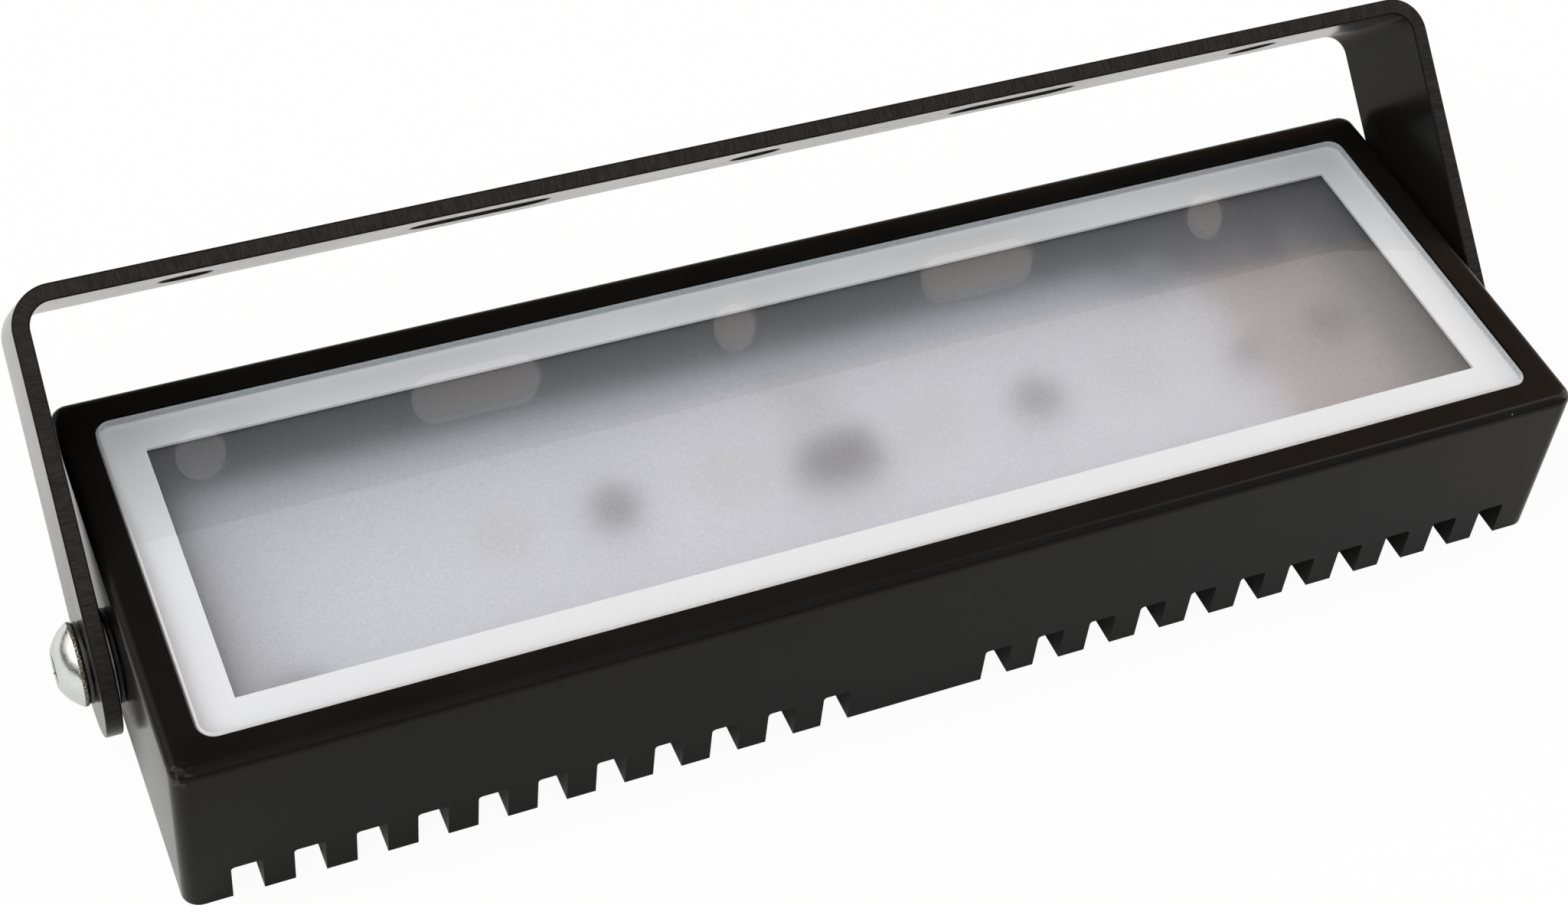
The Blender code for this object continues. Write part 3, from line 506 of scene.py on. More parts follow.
def stand_for(item, slot, *nodes, body="light"):
    """The item rides on a body and stands for CAD nodes, if any; the slot is not used."""
    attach(item, body)
    if nodes:
        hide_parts(*nodes)


def dress(item, slot, *nodes, finishes=(), edge=0.0, pick=None):
    """Completes an item of the light, whose edges are rounded or else stay sharp.

    Its finish is the one of the slot's name unless others are given. Of several, each face
    takes the one whose number pick gives.
    """
    if edge:
        ease(item, edge)
    settle(item, finishes or [slot])
    if not edge:
        item.data.set_sharp_from_angle(angle=SHARP_ANGLE)
    if pick:
        for face in item.data.polygons:
            face.material_index = pick(face)
    stand_for(item, slot, *nodes)


# Finishes

FINISHES = {}


def give(item, inputs):
    """Gives a node its inputs: sockets are linked, plain colours made opaque."""
    for key, value in inputs.items():
        entry = item.inputs[key]
        if isinstance(value, bpy.types.NodeSocket):
            item.id_data.links.new(value, entry)
        else:
            entry.default_value = (*value, 1.0) if entry.type == "RGBA" else value


def node(source, kind, inputs=(), **settings):
    """A shader node beside its source, which is a tree, a node or a socket."""
    item = source.id_data.nodes.new("ShaderNode" + kind)
    for key, value in settings.items():
        setattr(item, key, value)
    give(item, dict(inputs))
    return item


def new_finish(name, roughness, metallic=0.0, specular=0.5):
    """A new finish's shader and the place on the object."""
    FINISHES[name] = bpy.data.materials.new(name)
    FINISHES[name].use_nodes = True
    shader = FINISHES[name].node_tree.nodes["Principled BSDF"]
    feed(shader, Roughness=roughness, Metallic=metallic, Specular_IOR_Level=specular)
    return shader, node(shader, "TexCoord").outputs["Object"]


def feed(shader, **inputs):
    """Gives a shader its inputs by their names."""
    give(shader, {name.replace("_", " "): value for name, value in inputs.items()})


def stretched(place, scale):
    """A place stretched by axis, so that a pattern runs along one of them."""
    return node(place, "Mapping", {"Vector": place, "Scale": scale}).outputs[0]


def noise(place, scale, detail=2.0):
    """Smooth noise with so many features in a metre."""
    inputs = {"Vector": place, "Scale": scale, "Detail": detail}
    return node(place, "TexNoise", inputs).outputs["Fac"]


def spread(value, low, high, to_low=0.0, to_high=1.0, kind="LINEAR"):
    """Maps a value's range to another, held at its ends."""
    inputs = {"Value": value, "From Min": low, "From Max": high,
              "To Min": to_low, "To Max": to_high}
    return node(value, "MapRange", inputs, interpolation_type=kind).outputs["Result"]


def wander(value, middle, reach):
    """A value about a middle, as far off it as the noise says."""
    return spread(value, *NOISE_SPAN, middle - reach, middle + reach)


def calculate(operation, *values):
    """The result of a calculation on sockets and numbers."""
    source = next(value for value in values if isinstance(value, bpy.types.NodeSocket))
    return node(source, "Math", dict(enumerate(values)), operation=operation).outputs[0]


def blend(share, first, second, kind="MIX"):
    """A colour that lies between two, or the first with a share of the second added."""
    inputs = {0: share, 6: first, 7: second}
    return node(share, "Mix", inputs, data_type="RGBA", blend_type=kind).outputs[2]


def bump(height, strength, distance):
    """A surface normal shaken by a height."""
    inputs = {"Height": height, "Strength": strength, "Distance": distance}
    return node(height, "Bump", inputs).outputs["Normal"]


def shade(colour, share):
    """A colour made lighter or darker."""
    return tuple(min(1.0, channel * share) for channel in colour)


def mottled(value, colour, low, high):
    """A colour that gets darker and lighter with the noise."""
    return blend(value, shade(colour, low), shade(colour, high))


def specks(place, scale, radius, share):
    """Sparse round specks: so many cells in a metre, a share of which hold one."""
    cells = node(place, "TexVoronoi", {"Vector": place, "Scale": scale})
    dot = spread(cells.outputs["Distance"], radius, radius / 2)
    chance = node(place, "SeparateColor", {"Color": cells.outputs["Color"]}).outputs[0]
    return calculate("MULTIPLY", dot, calculate("LESS_THAN", chance, share))


def worn_corners(place):
    """Where the coat has rubbed thin, near the housing's four top corners."""
    mirrored = node(place, "VectorMath", {0: place}, operation="ABSOLUTE").outputs["Vector"]
    corner = (HALF_LENGTH, HALF_WIDTH, HEIGHT)
    away = node(place, "VectorMath", {0: mirrored, 1: corner}, operation="DISTANCE")
    near = spread(away.outputs["Value"], WEAR_REACH, WEAR_REACH / 3)
    scuffs = noise(stretched(place, (0.5, 1.0, 1.0)), SCUFF_SCALE)
    scuffs = spread(scuffs, *SCUFF_SPAN)
    return calculate("MULTIPLY", near, scuffs)


def powder_coat(name, colour, roughness, worn=False):
    """Satin powder coat: fine orange peel, faint mottling and a few light specks of dust."""
    shader, place = new_finish(name, roughness, specular=COAT_SPECULAR)
    feed(shader, Coat_Weight=1.0, Coat_IOR=SHEEN_IOR, Coat_Roughness=SHEEN_ROUGHNESS)
    mottle = noise(place, MOTTLE_SCALE, 3.0)
    peel = noise(place, PEEL_SCALE)
    base = mottled(mottle, colour, *COAT_SHADES)
    dust = specks(place, *COAT_DUST)
    base = blend(calculate("MULTIPLY", dust, 0.7), base, DUST_COLOUR)
    if worn:
        base = blend(worn_corners(place), base, WORN_COLOUR)
    feed(shader,
         Base_Color=base,
         Roughness=wander(mottle, roughness, 0.03),
         Normal=bump(peel, 0.25, FINE_BUMP))
    return shader, base


def bracket_coat():
    """Powder coat over sheet steel whose laser-cut edges still show fine lines across them."""
    shader, base = powder_coat("bracket_powder_coat", BRACKET_COAT, COAT_ROUGHNESS)
    sheet = node(base, "Attribute", attribute_name="sheet_place").outputs["Vector"]
    edge = node(base, "Attribute", attribute_name="cut_edge").outputs["Fac"]
    lines = noise(stretched(sheet, (1.0, 1.0, 0.12)), CUT_LINE_SCALE)
    broad = noise(stretched(sheet, (1.0, 1.0, 0.3)), CUT_WAVE_SCALE)
    both = calculate("ADD", calculate("MULTIPLY", lines, 0.75),
                     calculate("MULTIPLY", broad, 0.25))
    edge_colour = blend(spread(both, *CUT_SPAN), EDGE_DARK, EDGE_LIGHT)
    feed(shader,
         Coat_IOR=BRACKET_SHEEN_IOR,
         Base_Color=blend(edge, base, edge_colour),
         Normal=bump(calculate("MULTIPLY", both, edge), 0.4, CUT_BUMP))


def metal(name, colour, roughness, marks=0.08, scale=900.0, dents=0.1):
    """Bare or plated metal, with cloudy roughness and faint marks."""
    shader, place = new_finish(name, roughness, metallic=1.0)
    cloud = noise(place, scale / 6, 3.0)
    fine = noise(place, scale, 3.0)
    feed(shader,
         Base_Color=mottled(cloud, colour, *METAL_SHADES),
         Roughness=wander(fine, roughness, marks),
         Normal=bump(fine, dents, FINE_BUMP))


def moulding(name, colour, roughness, cloudy=0.1):
    """A plain moulded or rubber surface with fine grain and slight mottling."""
    shader, place = new_finish(name, roughness)
    cloud = noise(place, MOULDING_SCALE / 15)
    fine = noise(place, MOULDING_SCALE)
    feed(shader,
         Base_Color=mottled(cloud, colour, 1 - cloudy, 1 + cloudy),
         Roughness=wander(fine, roughness, 0.05),
         Normal=bump(fine, 0.15, FINE_BUMP))


def either(source, first, second):
    """1 for rays of either kind, else 0."""
    ray = node(source, "LightPath").outputs
    return calculate("MAXIMUM", ray[first], ray[second])


def lets_light_in(shader, tint):
    """Light passes this clear finish straight, so that it reaches what is behind."""
    share = either(shader, "Is Shadow Ray", "Is Diffuse Ray")
    clear = node(shader, "BsdfTransparent", {"Color": tint})
    mixed = node(shader, "MixShader", {
        0: share, 1: shader.outputs["BSDF"], 2: clear.outputs["BSDF"]})
    give(shader.id_data.nodes["Material Output"], {"Surface": mixed.outputs[0]})


def clear_glass():
    """The pane's polished faces."""
    shader, place = new_finish("clear_glass", 0.0)
    haze = noise(place, HAZE_SCALE)
    feed(shader,
         Transmission_Weight=1.0,
         IOR=GLASS_IOR,
         Base_Color=blend(haze, (0.985, 0.988, 0.99), (0.995, 0.997, 0.998)))
    lets_light_in(shader, (0.96, 0.96, 0.965))


def ground_glass(name, dark, light, transmission):
    """Ground glass, as on the pane's sides and chamfers."""
    shader, place = new_finish(name, 0.55)
    grit = noise(place, GRIT_SCALE)
    feed(shader,
         Transmission_Weight=transmission,
         IOR=GLASS_IOR,
         Base_Color=blend(spread(grit, 0.35, 0.65), dark, light),
         Normal=bump(grit, 0.4, FINE_BUMP))


def frosted_sheet():
    """The frosted sheet, with the fine grain of its surface."""
    shader, place = new_finish("frosted_sheet", SHEET_ROUGHNESS)
    grain = noise(place, GRAIN_SCALE)
    dust = specks(place, *SHEET_DUST)
    base = blend(spread(grain, *NOISE_SPAN), SHEET_DARK, SHEET_LIGHT)
    feed(shader,
         Transmission_Weight=SHEET_TRANSMISSION,
         IOR=SHEET_IOR,
         Base_Color=blend(dust, base, (1.0, 1.0, 1.0)),
         Roughness=wander(grain, SHEET_ROUGHNESS, 0.04),
         Normal=bump(grain, 0.35, FINE_BUMP))
    lets_light_in(shader, (0.95, 0.945, 0.955))


def board_mask():
    """White solder mask with the copper's edges just raised under it."""
    shader, place = new_finish("white_solder_mask", 0.40)
    brick = node(place, "TexBrick", {
        "Vector": place, "Scale": 1.0, "Mortar Size": TRACK_GAP, "Mortar Smooth": 0.4,
        "Brick Width": TRACK_LENGTH, "Row Height": TRACK_WIDTH})
    groove = brick.outputs["Fac"]
    cloud = noise(place, BOARD_CLOUD_SCALE)
    base = blend(cloud, BOARD_DARK, BOARD_LIGHT)
    faint = calculate("MULTIPLY", groove, 0.25)
    feed(shader,
         Base_Color=blend(faint, base, GROOVE_COLOUR),
         Normal=bump(calculate("SUBTRACT", 1.0, groove), 0.5, TRACK_HEIGHT))


def bolt_rim():
    """The rough rim of a bolt's head, darker in the hollows of its pits and lighter on their high
    spots.
    """
    shader, place = new_finish("rough_bolt_rim", 0.5, metallic=1.0)
    pits = noise(place, PIT_SCALE, 3.0)
    feed(shader,
         Base_Color=blend(spread(pits, *PIT_SPAN), PIT_DARK, PIT_LIGHT),
         Normal=bump(pits, 0.9, PIT_BUMP))


def make_finishes():
    """Every finish of the light and the bracket."""
    powder_coat("housing_powder_coat", COAT, COAT_ROUGHNESS, True)
    bracket_coat()
    clear_glass()
    # The sides' darker grey is partly the ground edge's own tone and partly painted shade; the
    # upward chamfer keeps the lighter tone
    ground_glass("shaded_ground_side", (0.46, 0.49, 0.52), (0.60, 0.63, 0.66), 0.3)
    ground_glass("ground_chamfer", (0.84, 0.83, 0.82), (0.94, 0.93, 0.92), 0.2)
    moulding("white_gasket", (0.865, 0.88, 0.90), 0.55, cloudy=0.02)
    frosted_sheet()
    board_mask()
    moulding("thermal_pad", (0.35, 0.36, 0.38), 0.8)
    moulding("brown_card", (0.52, 0.43, 0.39), 0.6)
    moulding("white_ceramic", (0.80, 0.80, 0.77), 0.45)
    moulding("phosphor", (0.82, 0.78, 0.64), 0.3)
    moulding("black_moulding", (0.022, 0.022, 0.024), 0.45)
    moulding("dark_moulding", (0.10, 0.10, 0.105), 0.5)
    metal("aluminium_can", (0.42, 0.42, 0.43), 0.42)
    metal("bright_zinc", (0.74, 0.77, 0.74), 0.20, 0.09, 2200.0, dents=0.3)
    bolt_rim()
    metal("dark_steel", (0.10, 0.098, 0.095), 0.42)
    metal("black_screw", (0.020, 0.017, 0.015), 0.55)
    metal("dull_zinc", (0.36, 0.33, 0.30), 0.38)
    metal("nickel_plate", (0.68, 0.64, 0.58), 0.24, 0.06)
    metal("gold_plate", (0.86, 0.62, 0.26), 0.22, 0.05)
    moulding("black_rubber", (0.025, 0.025, 0.025), 0.65)
    moulding("white_insulation", (0.78, 0.78, 0.76), 0.45)


# Housing

def channel_outline(middle):
    """The section of one cooling channel, open below."""
    half = CHANNEL_WIDTH / 2
    radius = CHANNEL_TOP_RADIUS
    points = [(middle - half, -OVERRUN), (middle + half, -OVERRUN)]
    for side, start in ((1, 0), (-1, math.pi / 2)):
        centre = (middle + side * (half - radius), CHANNEL_HEIGHT - radius)
        points += bend(centre, radius, start, math.pi / 2, FILLET_STEPS)
    return points


def make_housing():
    """The finned body with its filleted rim, window seat, channels, pocket and bores."""
    loops = [level(rounded(HALF_LENGTH, HALF_WIDTH, CORNER_RADIUS), 0)]
    for angle in sweep(0, math.pi / 2, FILLET_STEPS):
        inset = TOP_FILLET * (1 - math.cos(angle))
        outline = rounded(HALF_LENGTH - inset, HALF_WIDTH - inset, CORNER_RADIUS - inset)
        loops.append(level(outline, HEIGHT - TOP_FILLET * (1 - math.sin(angle))))
    housing = loft("housing_look", loops)

    recess = rounded(RECESS_HALF_LENGTH, RECESS_HALF_WIDTH, RECESS_RADIUS)
    cavity = rounded(CAVITY_HALF_LENGTH, CAVITY_HALF_WIDTH, CAVITY_CORNER_RADIUS)
    cut(housing, loft("cutter", [
        level(recess, HEIGHT + OVERRUN), level(recess, SEAT_HEIGHT),
        level(cavity, SEAT_HEIGHT), level(cavity, CAVITY_FLOOR)]))

    channels = []
    reach = HALF_WIDTH + OVERRUN
    first = (CENTRE_BLOCK_LENGTH + CHANNEL_WIDTH) / 2
    for side in (-1, 1):
        for index in range(CHANNELS_PER_SIDE):
            outline = channel_outline(side * (first + index * CHANNEL_PITCH))
            channels.append(through(outline, -reach, reach))
    cut(housing, joined(channels))

    pocket = rounded(POCKET_LENGTH / 2, POCKET_WIDTH / 2, POCKET_CORNER_RADIUS,
                     (0, CAVITY_HALF_WIDTH - POCKET_WIDTH / 2))
    cut(housing, prism(pocket, CAVITY_FLOOR - POCKET_DEPTH, CAVITY_FLOOR + OVERRUN))
    cut(housing, rod(
        CONNECTOR_BORE_RADIUS,
        (0, CAVITY_HALF_WIDTH - CONNECTOR_BORE_START, CONNECTOR_HEIGHT),
        (0, HALF_WIDTH + OVERRUN, CONNECTOR_HEIGHT)))

    bores = []
    for side in (-1, 1):
        end = side * (HALF_LENGTH - BOLT_BORE_DEPTH)
        mouth = side * (HALF_LENGTH + OVERRUN)
        bores.append(rod(BOLT_BORE_RADIUS, (end, 0, PIVOT.z), (mouth, 0, PIVOT.z)))
    low = CAVITY_FLOOR - SCREW_BORE_DEPTH
    high = CAVITY_FLOOR + OVERRUN
    bores += [upright(SCREW_BORE_RADIUS, place, low, high) for place in screw_places()]
    cut(housing, joined(bores))
    dress(housing, "housing_coat", "housing", finishes=["housing_powder_coat"],
          edge=HOUSING_EDGE)


# Window

def pane_part(face):
    """Which finish a face of the pane takes: polished, ground side with painted shade, or ground
    upper chamfer.
    """
    if abs(face.normal.z) >= PANE_FACE_SLOPE:
        return 0
    return 2 if face.normal.z > CHAMFER_SLOPE else 1


def make_window():
    """The glass with its ground rim, the gasket and the frosted sheet."""
    half_x = GLASS_HIGH.x
    half_y = GLASS_HIGH.y
    full = rounded(half_x, half_y, GLASS_RADIUS)
    face = rounded(
        half_x - GLASS_CHAMFER, half_y - GLASS_CHAMFER, GLASS_RADIUS - GLASS_CHAMFER)
    glass = loft("glass_pane", [
        level(face, GLASS_LOW.z),
        level(full, GLASS_LOW.z + GLASS_CHAMFER),
        level(full, GLASS_HIGH.z - GLASS_CHAMFER),
        level(face, GLASS_HIGH.z)])
    dress(glass, "window_glass", "safety_glass", pick=pane_part,
          finishes=("clear_glass", "shaded_ground_side", "ground_chamfer"))

    opening = rounded(
        RECESS_HALF_LENGTH - GASKET_WIDTH, RECESS_HALF_WIDTH - GASKET_WIDTH,
        GASKET_INNER_RADIUS)
    gasket = loft("gasket_frame", [
        level(full, GASKET_LOW.z), level(full, GASKET_HIGH.z),
        level(opening, GASKET_HIGH.z), level(opening, GASKET_LOW.z)], closed=True)
    dress(gasket, "white_gasket", "window_gasket", edge=GASKET_EDGE)

    sheet = prism(full, SHEET_LOW.z, SHEET_HIGH.z, "frosted_window_sheet")
    dress(sheet, "frosted_sheet", "diffuser_sheet")


# Board and what it carries

def box_size(name):
    """Half sizes, middle in plan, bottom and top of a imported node."""
    low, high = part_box(name)
    middle = (low + high) / 2
    return (high.x - low.x) / 2, (high.y - low.y) / 2, (middle.x, middle.y), low.z, high.z


def screw_places():
    """Where the board's screws stand."""
    return [box_size(f"board_screw_{number}")[2] for number in range(1, 5)]


def make_layer(name, node_name, slot, finishes=()):
    """The board or its pad, with the lead cut-out and the screw holes."""
    half_x, half_y, _, bottom, top = box_size(node_name)
    layer = prism(rounded(half_x, half_y, BOARD_RADIUS), bottom, top, name)
    low = bottom - OVERRUN
    high = top + OVERRUN
    window = rounded(CUTOUT_LENGTH / 2, CUTOUT_WIDTH / 2, CUTOUT_RADIUS, (0, CUTOUT_MIDDLE))
    holes = [prism(window, low, high)]
    holes += [upright(SCREW_BORE_RADIUS, place, low, high) for place in screw_places()]
    cut(layer, joined(holes))
    dress(layer, slot, node_name, finishes=finishes, edge=BOARD_EDGE)


def make_block(node_name, slot, radius=BLOCK_RADIUS, edge=BLOCK_EDGE):
    """A small moulded block with eased edges."""
    half_x, half_y, middle, bottom, top = box_size(node_name)
    outline = rounded(half_x, half_y, radius, middle)
    dress(prism(outline, bottom, top, node_name + "_body"), slot, node_name, edge=edge)


def make_turned(name, node_name, profile, place, slot, finishes=()):
    """A round part that stands on the board, made from its profile."""
    item = turned(name, profile)
    item.location = place
    dress(item, slot, node_name, finishes=finishes)


def arc(radius, height, base=0.0, start=0.0):
    """The quarter profile of a dome, from its edge to just short of its top."""
    return [
        (start + radius * math.cos(angle), base + height * math.sin(angle))
        for angle in sweep(0, math.pi / 2, ARC_STEPS)[:-1]]


def make_board():
    """The light board with its pad, screws and light sources."""
    make_layer("board_plate", "led_board", "white_board", ["white_solder_mask"])
    make_layer("pad_sheet", "thermal_pad", "thermal_pad")
    for number in range(1, 5):
        name = f"board_screw_{number}"
        half_x, _, middle, bottom, top = box_size(name)
        head = top - SCREW_HEAD_HEIGHT
        make_turned(name + "_cap", name, [
            (0, bottom - head),
            (SCREW_SHANK_RADIUS, bottom - head),
            (SCREW_SHANK_RADIUS, 0),
            *arc(half_x - SCREW_CROWN_RADIUS, SCREW_HEAD_HEIGHT, start=SCREW_CROWN_RADIUS),
            (hexagon(SOCKET_MOUTH), SCREW_HEAD_HEIGHT),
            (hexagon(SOCKET_APOTHEM), SCREW_HEAD_HEIGHT - SOCKET_DEPTH),
            (0, SCREW_HEAD_HEIGHT - SOCKET_TIP),
        ], (*middle, head), "dark_steel", ["black_screw"])
        ring = tube(name + "_ring", half_x + RING_GAP, RING_RADIUS, 0, RING_THICKNESS)
        ring.location = (*middle, head + LIFT)
        dress(ring, "black_moulding", edge=BOARD_EDGE)

        make_block(f"led_base_{number}", "white_ceramic", BASE_RADIUS, BASE_EDGE)
        name = f"led_lens_{number}"
        half_x, _, middle, bottom, top = box_size(name)
        make_turned(name + "_dome", name, [
            (0, 0), (half_x, 0), *arc(half_x, top - bottom - LENS_SIDE, base=LENS_SIDE),
            (0, top - bottom),
        ], (*middle, bottom), "phosphor")


def add_to_board(name, outline, base, height, edge, slot, finishes=()):
    """A small piece that stands on the board and is in the scene alone."""
    piece = prism(outline, base + LIFT, base + height, name)
    dress(piece, slot, finishes=finishes, edge=edge)


def make_board_extras():
    """The board's lead sealant, card and heat sensor, and the terminal's foot."""
    top = BOARD_HIGH.z
    outline = rounded(CUTOUT_LENGTH / 2 + SEALANT_LAP, CUTOUT_WIDTH / 2 + SEALANT_LAP,
                      SEALANT_RADIUS, (0, CUTOUT_MIDDLE))
    add_to_board("lead_sealant", outline, top, SEALANT_HEIGHT, SEALANT_EDGE, "white_insulation")
    half_x, half_y, middle = box_size("wire_terminal")[:3]
    outline = rounded(half_x + FOOT_LAP / 2, half_y + FOOT_SIDE_LAP, TERMINAL_RADIUS,
                      (middle[0] - FOOT_LAP / 2, middle[1]))
    add_to_board("terminal_foot", outline, top, FOOT_HEIGHT, FOOT_EDGE, "black_moulding",
                 ["dark_moulding"])
    half_y = (BOARD_HIGH.y - BOARD_LOW.y) / 2 - CARD_INSET
    outline = rounded(CARD_LENGTH / 2, half_y, CARD_RADIUS,
                      (BOARD_HIGH.x - CARD_INSET - CARD_LENGTH / 2, 0))
    add_to_board("insulating_card", outline, top, CARD_THICKNESS, CARD_EDGE, "thermal_pad",
                 ["brown_card"])
    outline = rounded(SENSOR_LENGTH / 2, SENSOR_WIDTH / 2, BLOCK_RADIUS, SENSOR_PLACE)
    add_to_board("heat_sensor", outline, top + CARD_THICKNESS, SENSOR_HEIGHT, SENSOR_EDGE,
                 "black_moulding")


def make_regulator():
    """The current regulator's parts."""
    for name in ("driver_chip", "input_diode", "capacitor_base"):
        make_block(name, "black_moulding")

    half_x, _, middle, bottom, top = box_size("driver_coil")
    height = top - bottom
    waist = half_x - COIL_WAIST_DEPTH
    rows = COIL_TURNS * COIL_TURN_ROWS
    turns = []
    for row in range(rows + 1):
        along = COIL_FLANGE + (height - 2 * COIL_FLANGE) * row / rows
        bulge = abs(math.sin(math.pi * row / COIL_TURN_ROWS))
        turns.append((waist - COIL_BULGE + COIL_BULGE * bulge, along))
    make_turned("driver_coil_body", "driver_coil", [
        (0, 0), (half_x, 0), (half_x, COIL_FLANGE), *turns,
        (half_x, height - COIL_FLANGE), (half_x, height), (0, height),
    ], (*middle, bottom), "black_moulding")

    half_x, _, middle, bottom, top = box_size("input_capacitor")
    height = top - bottom
    make_turned("input_capacitor_can", "input_capacitor", [
        (0, 0),
        *[(half_x - inset, up) for inset, up in CAN_FOOT],
        *[(half_x - inset, height - down) for inset, down in CAN_TOP],
        (0, height),
    ], (*middle, bottom), "aluminium_can")


def lead_points(x):
    """The smooth route of one inner lead."""
    low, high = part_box("supply_lead_positive")
    top = high.z - LEAD_RADIUS
    points = [(x, high.y, CONNECTOR_HEIGHT)]
    angles = sweep(0, math.pi / 2, LEAD_STEPS)
    for angle in angles:
        points.append((
            x, CUTOUT_MIDDLE + LEAD_BEND * (1 - math.sin(angle)),
            CONNECTOR_HEIGHT + LEAD_BEND * (1 - math.cos(angle))))
    for angle in angles:
        points.append((
            x, CUTOUT_MIDDLE - LEAD_BEND * (1 - math.cos(angle)),
            top - LEAD_BEND * (1 - math.sin(angle))))
    points.append((x, low.y, top))
    return points


def make_lead(pole):
    """A round insulated wire, smooth along its route."""
    name = f"lead_{pole}"
    node_name = f"supply_{name}"
    curve = bpy.data.curves.new(name, "CURVE")
    curve.dimensions = "3D"
    curve.bevel_depth = LEAD_RADIUS
    curve.bevel_resolution = LEAD_BEVEL_STEPS
    curve.use_fill_caps = True
    route = lead_points(box_size(node_name)[2][0])
    spline = curve.splines.new("POLY")
    spline.points.add(len(route) - 1)
    for point, place in zip(spline.points, route):
        point.co = (*place, 1)
    drawn = new_object(name, curve)
    graph = bpy.context.evaluated_depsgraph_get()
    data = bpy.data.meshes.new_from_object(drawn.evaluated_get(graph))
    bpy.data.objects.remove(drawn)
    data.shade_smooth()
    dress(new_object(name, data), "white_insulation", node_name)


def make_supply():
    """The terminal with its wire entries and two screw wells, and the inner leads."""
    half_x, half_y, middle, bottom, top = box_size("wire_terminal")
    outline = rounded(half_x, half_y, TERMINAL_RADIUS, middle)
    terminal = prism(outline, bottom, top, "terminal_body")
    height = (bottom + top) / 2
    back = middle[1] + half_y
    well = middle[1] - WELL_OFFSET
    holes = []
    for x in (-LEAD_SPACING / 2, LEAD_SPACING / 2):
        holes.append(rod(LEAD_RADIUS + WIRE_ENTRY_GAP, (x, back - WIRE_ENTRY_DEPTH, height),
                         (x, back + OVERRUN, height)))
        holes.append(upright(WELL_RADIUS, (x, well), top - WELL_DEPTH, top + OVERRUN))
    cut(terminal, joined(holes))
    dress(terminal, "black_moulding", "wire_terminal", finishes=["dark_moulding"],
          edge=TERMINAL_EDGE)
    for pole in ("positive", "negative"):
        make_lead(pole)


# Connector

def thread(crest, depth, pitch, start, length):
    """The loops of a helical thread that fades in and out at its ends."""
    profile = []
    rows = round(length / pitch * THREAD_ROWS)
    for row in range(rows + 1):
        along = start + length * row / rows
        fade = min(1.0, row / THREAD_ROWS, (rows - row) / THREAD_ROWS)

        def radius(angle, along=along, fade=fade):
            phase = (along / pitch - angle / math.tau) % 1.0
            groove = max(0.0, 1.0 - abs(phase - 0.5) * THREAD_SLOPE)
            return crest - depth * fade * groove
        profile.append((radius, along))
    return profile


def make_connector():
    """The plug-in connector: threaded shell, pin carrier, pins and seal."""
    seal_low, seal_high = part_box("connector_seal")
    hex_seat = seal_high.y - HALF_WIDTH + CONNECTOR_GAP
    hex_top = hex_seat + HEX_FLANGE_THICKNESS
    rim = SHELL_HIGH.y - HALF_WIDTH
    back = SHELL_LOW.y - HALF_WIDTH
    nut = hexagon(HEX_FLANGE_APOTHEM)
    root = THREAD_RADIUS - THREAD_DEPTH
    shell = turned("connector_barrel", [
        (CONNECTOR_BACK_RADIUS, back),
        (THREAD_RADIUS, back),
        (THREAD_RADIUS, hex_seat),
        (nut, hex_seat),
        (nut, hex_top - CONNECTOR_CHAMFER),
        (hexagon(HEX_FLANGE_APOTHEM, HEX_FLANGE_APOTHEM * NUT_CORNER_SHARE), hex_top),
        (root, hex_top),
        (root, hex_top + THREAD_RELIEF),
        *thread(THREAD_RADIUS, THREAD_DEPTH, THREAD_PITCH, hex_top + THREAD_START,
                rim - hex_top - THREAD_FREE_LENGTH),
        (THREAD_RADIUS - CONNECTOR_CHAMFER, rim),
        (CONNECTOR_INNER_RADIUS, rim),
        (CONNECTOR_INNER_RADIUS, hex_seat),
        (CONNECTOR_BACK_RADIUS, hex_seat),
    ], closed=True)
    place_along(shell, (0, HALF_WIDTH, CONNECTOR_HEIGHT), turn_x=REARWARD)
    dress(shell, "nickel_plate", "connector_shell")
    make_pins()

    seal = tube("connector_ring_seal", THREAD_RADIUS + CONNECTOR_GAP, seal_high.x, 0,
                seal_high.y - seal_low.y)
    place_along(seal, (0, seal_low.y, CONNECTOR_HEIGHT), turn_x=REARWARD)
    dress(seal, "black_rubber", "connector_seal", edge=SEAL_EDGE)


def make_pins():
    """The pin carrier with a passage for each pin, and the pins."""
    low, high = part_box("connector_pin_carrier")
    radius = (high.x - low.x) / 2
    start = low.y - HALF_WIDTH
    end = high.y - HALF_WIDTH
    carrier = turned("connector_insert", [(0, start), (radius, start), (radius, end), (0, end)])
    place_along(carrier, (0, HALF_WIDTH, CONNECTOR_HEIGHT), turn_x=REARWARD)
    passages = []
    for number in range(1, 5):
        name = f"connector_pin_{number}"
        pin_low, pin_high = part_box(name)
        x = (pin_low.x + pin_high.x) / 2
        z = (pin_low.z + pin_high.z) / 2
        radius = (pin_high.x - pin_low.x) / 2
        length = pin_high.y - pin_low.y
        passages.append(rod(
            radius + CONNECTOR_GAP, (x, low.y - OVERRUN, z), (x, high.y + OVERRUN, z)))
        tip = bend((0, length - radius), radius, 0, math.pi / 2, PIN_TIP_STEPS)[1:-1]
        pin = turned(name + "_contact", [
            (0, 0), (radius, 0), (radius, length - radius), *tip, (0, length)], steps=PIN_STEPS)
        place_along(pin, (x, pin_low.y, z), turn_x=REARWARD)
        dress(pin, "gold_plate", name)
    cut(carrier, joined(passages))
    dress(carrier, "black_moulding", "connector_pin_carrier", edge=CONNECTOR_EDGE)


# Bracket

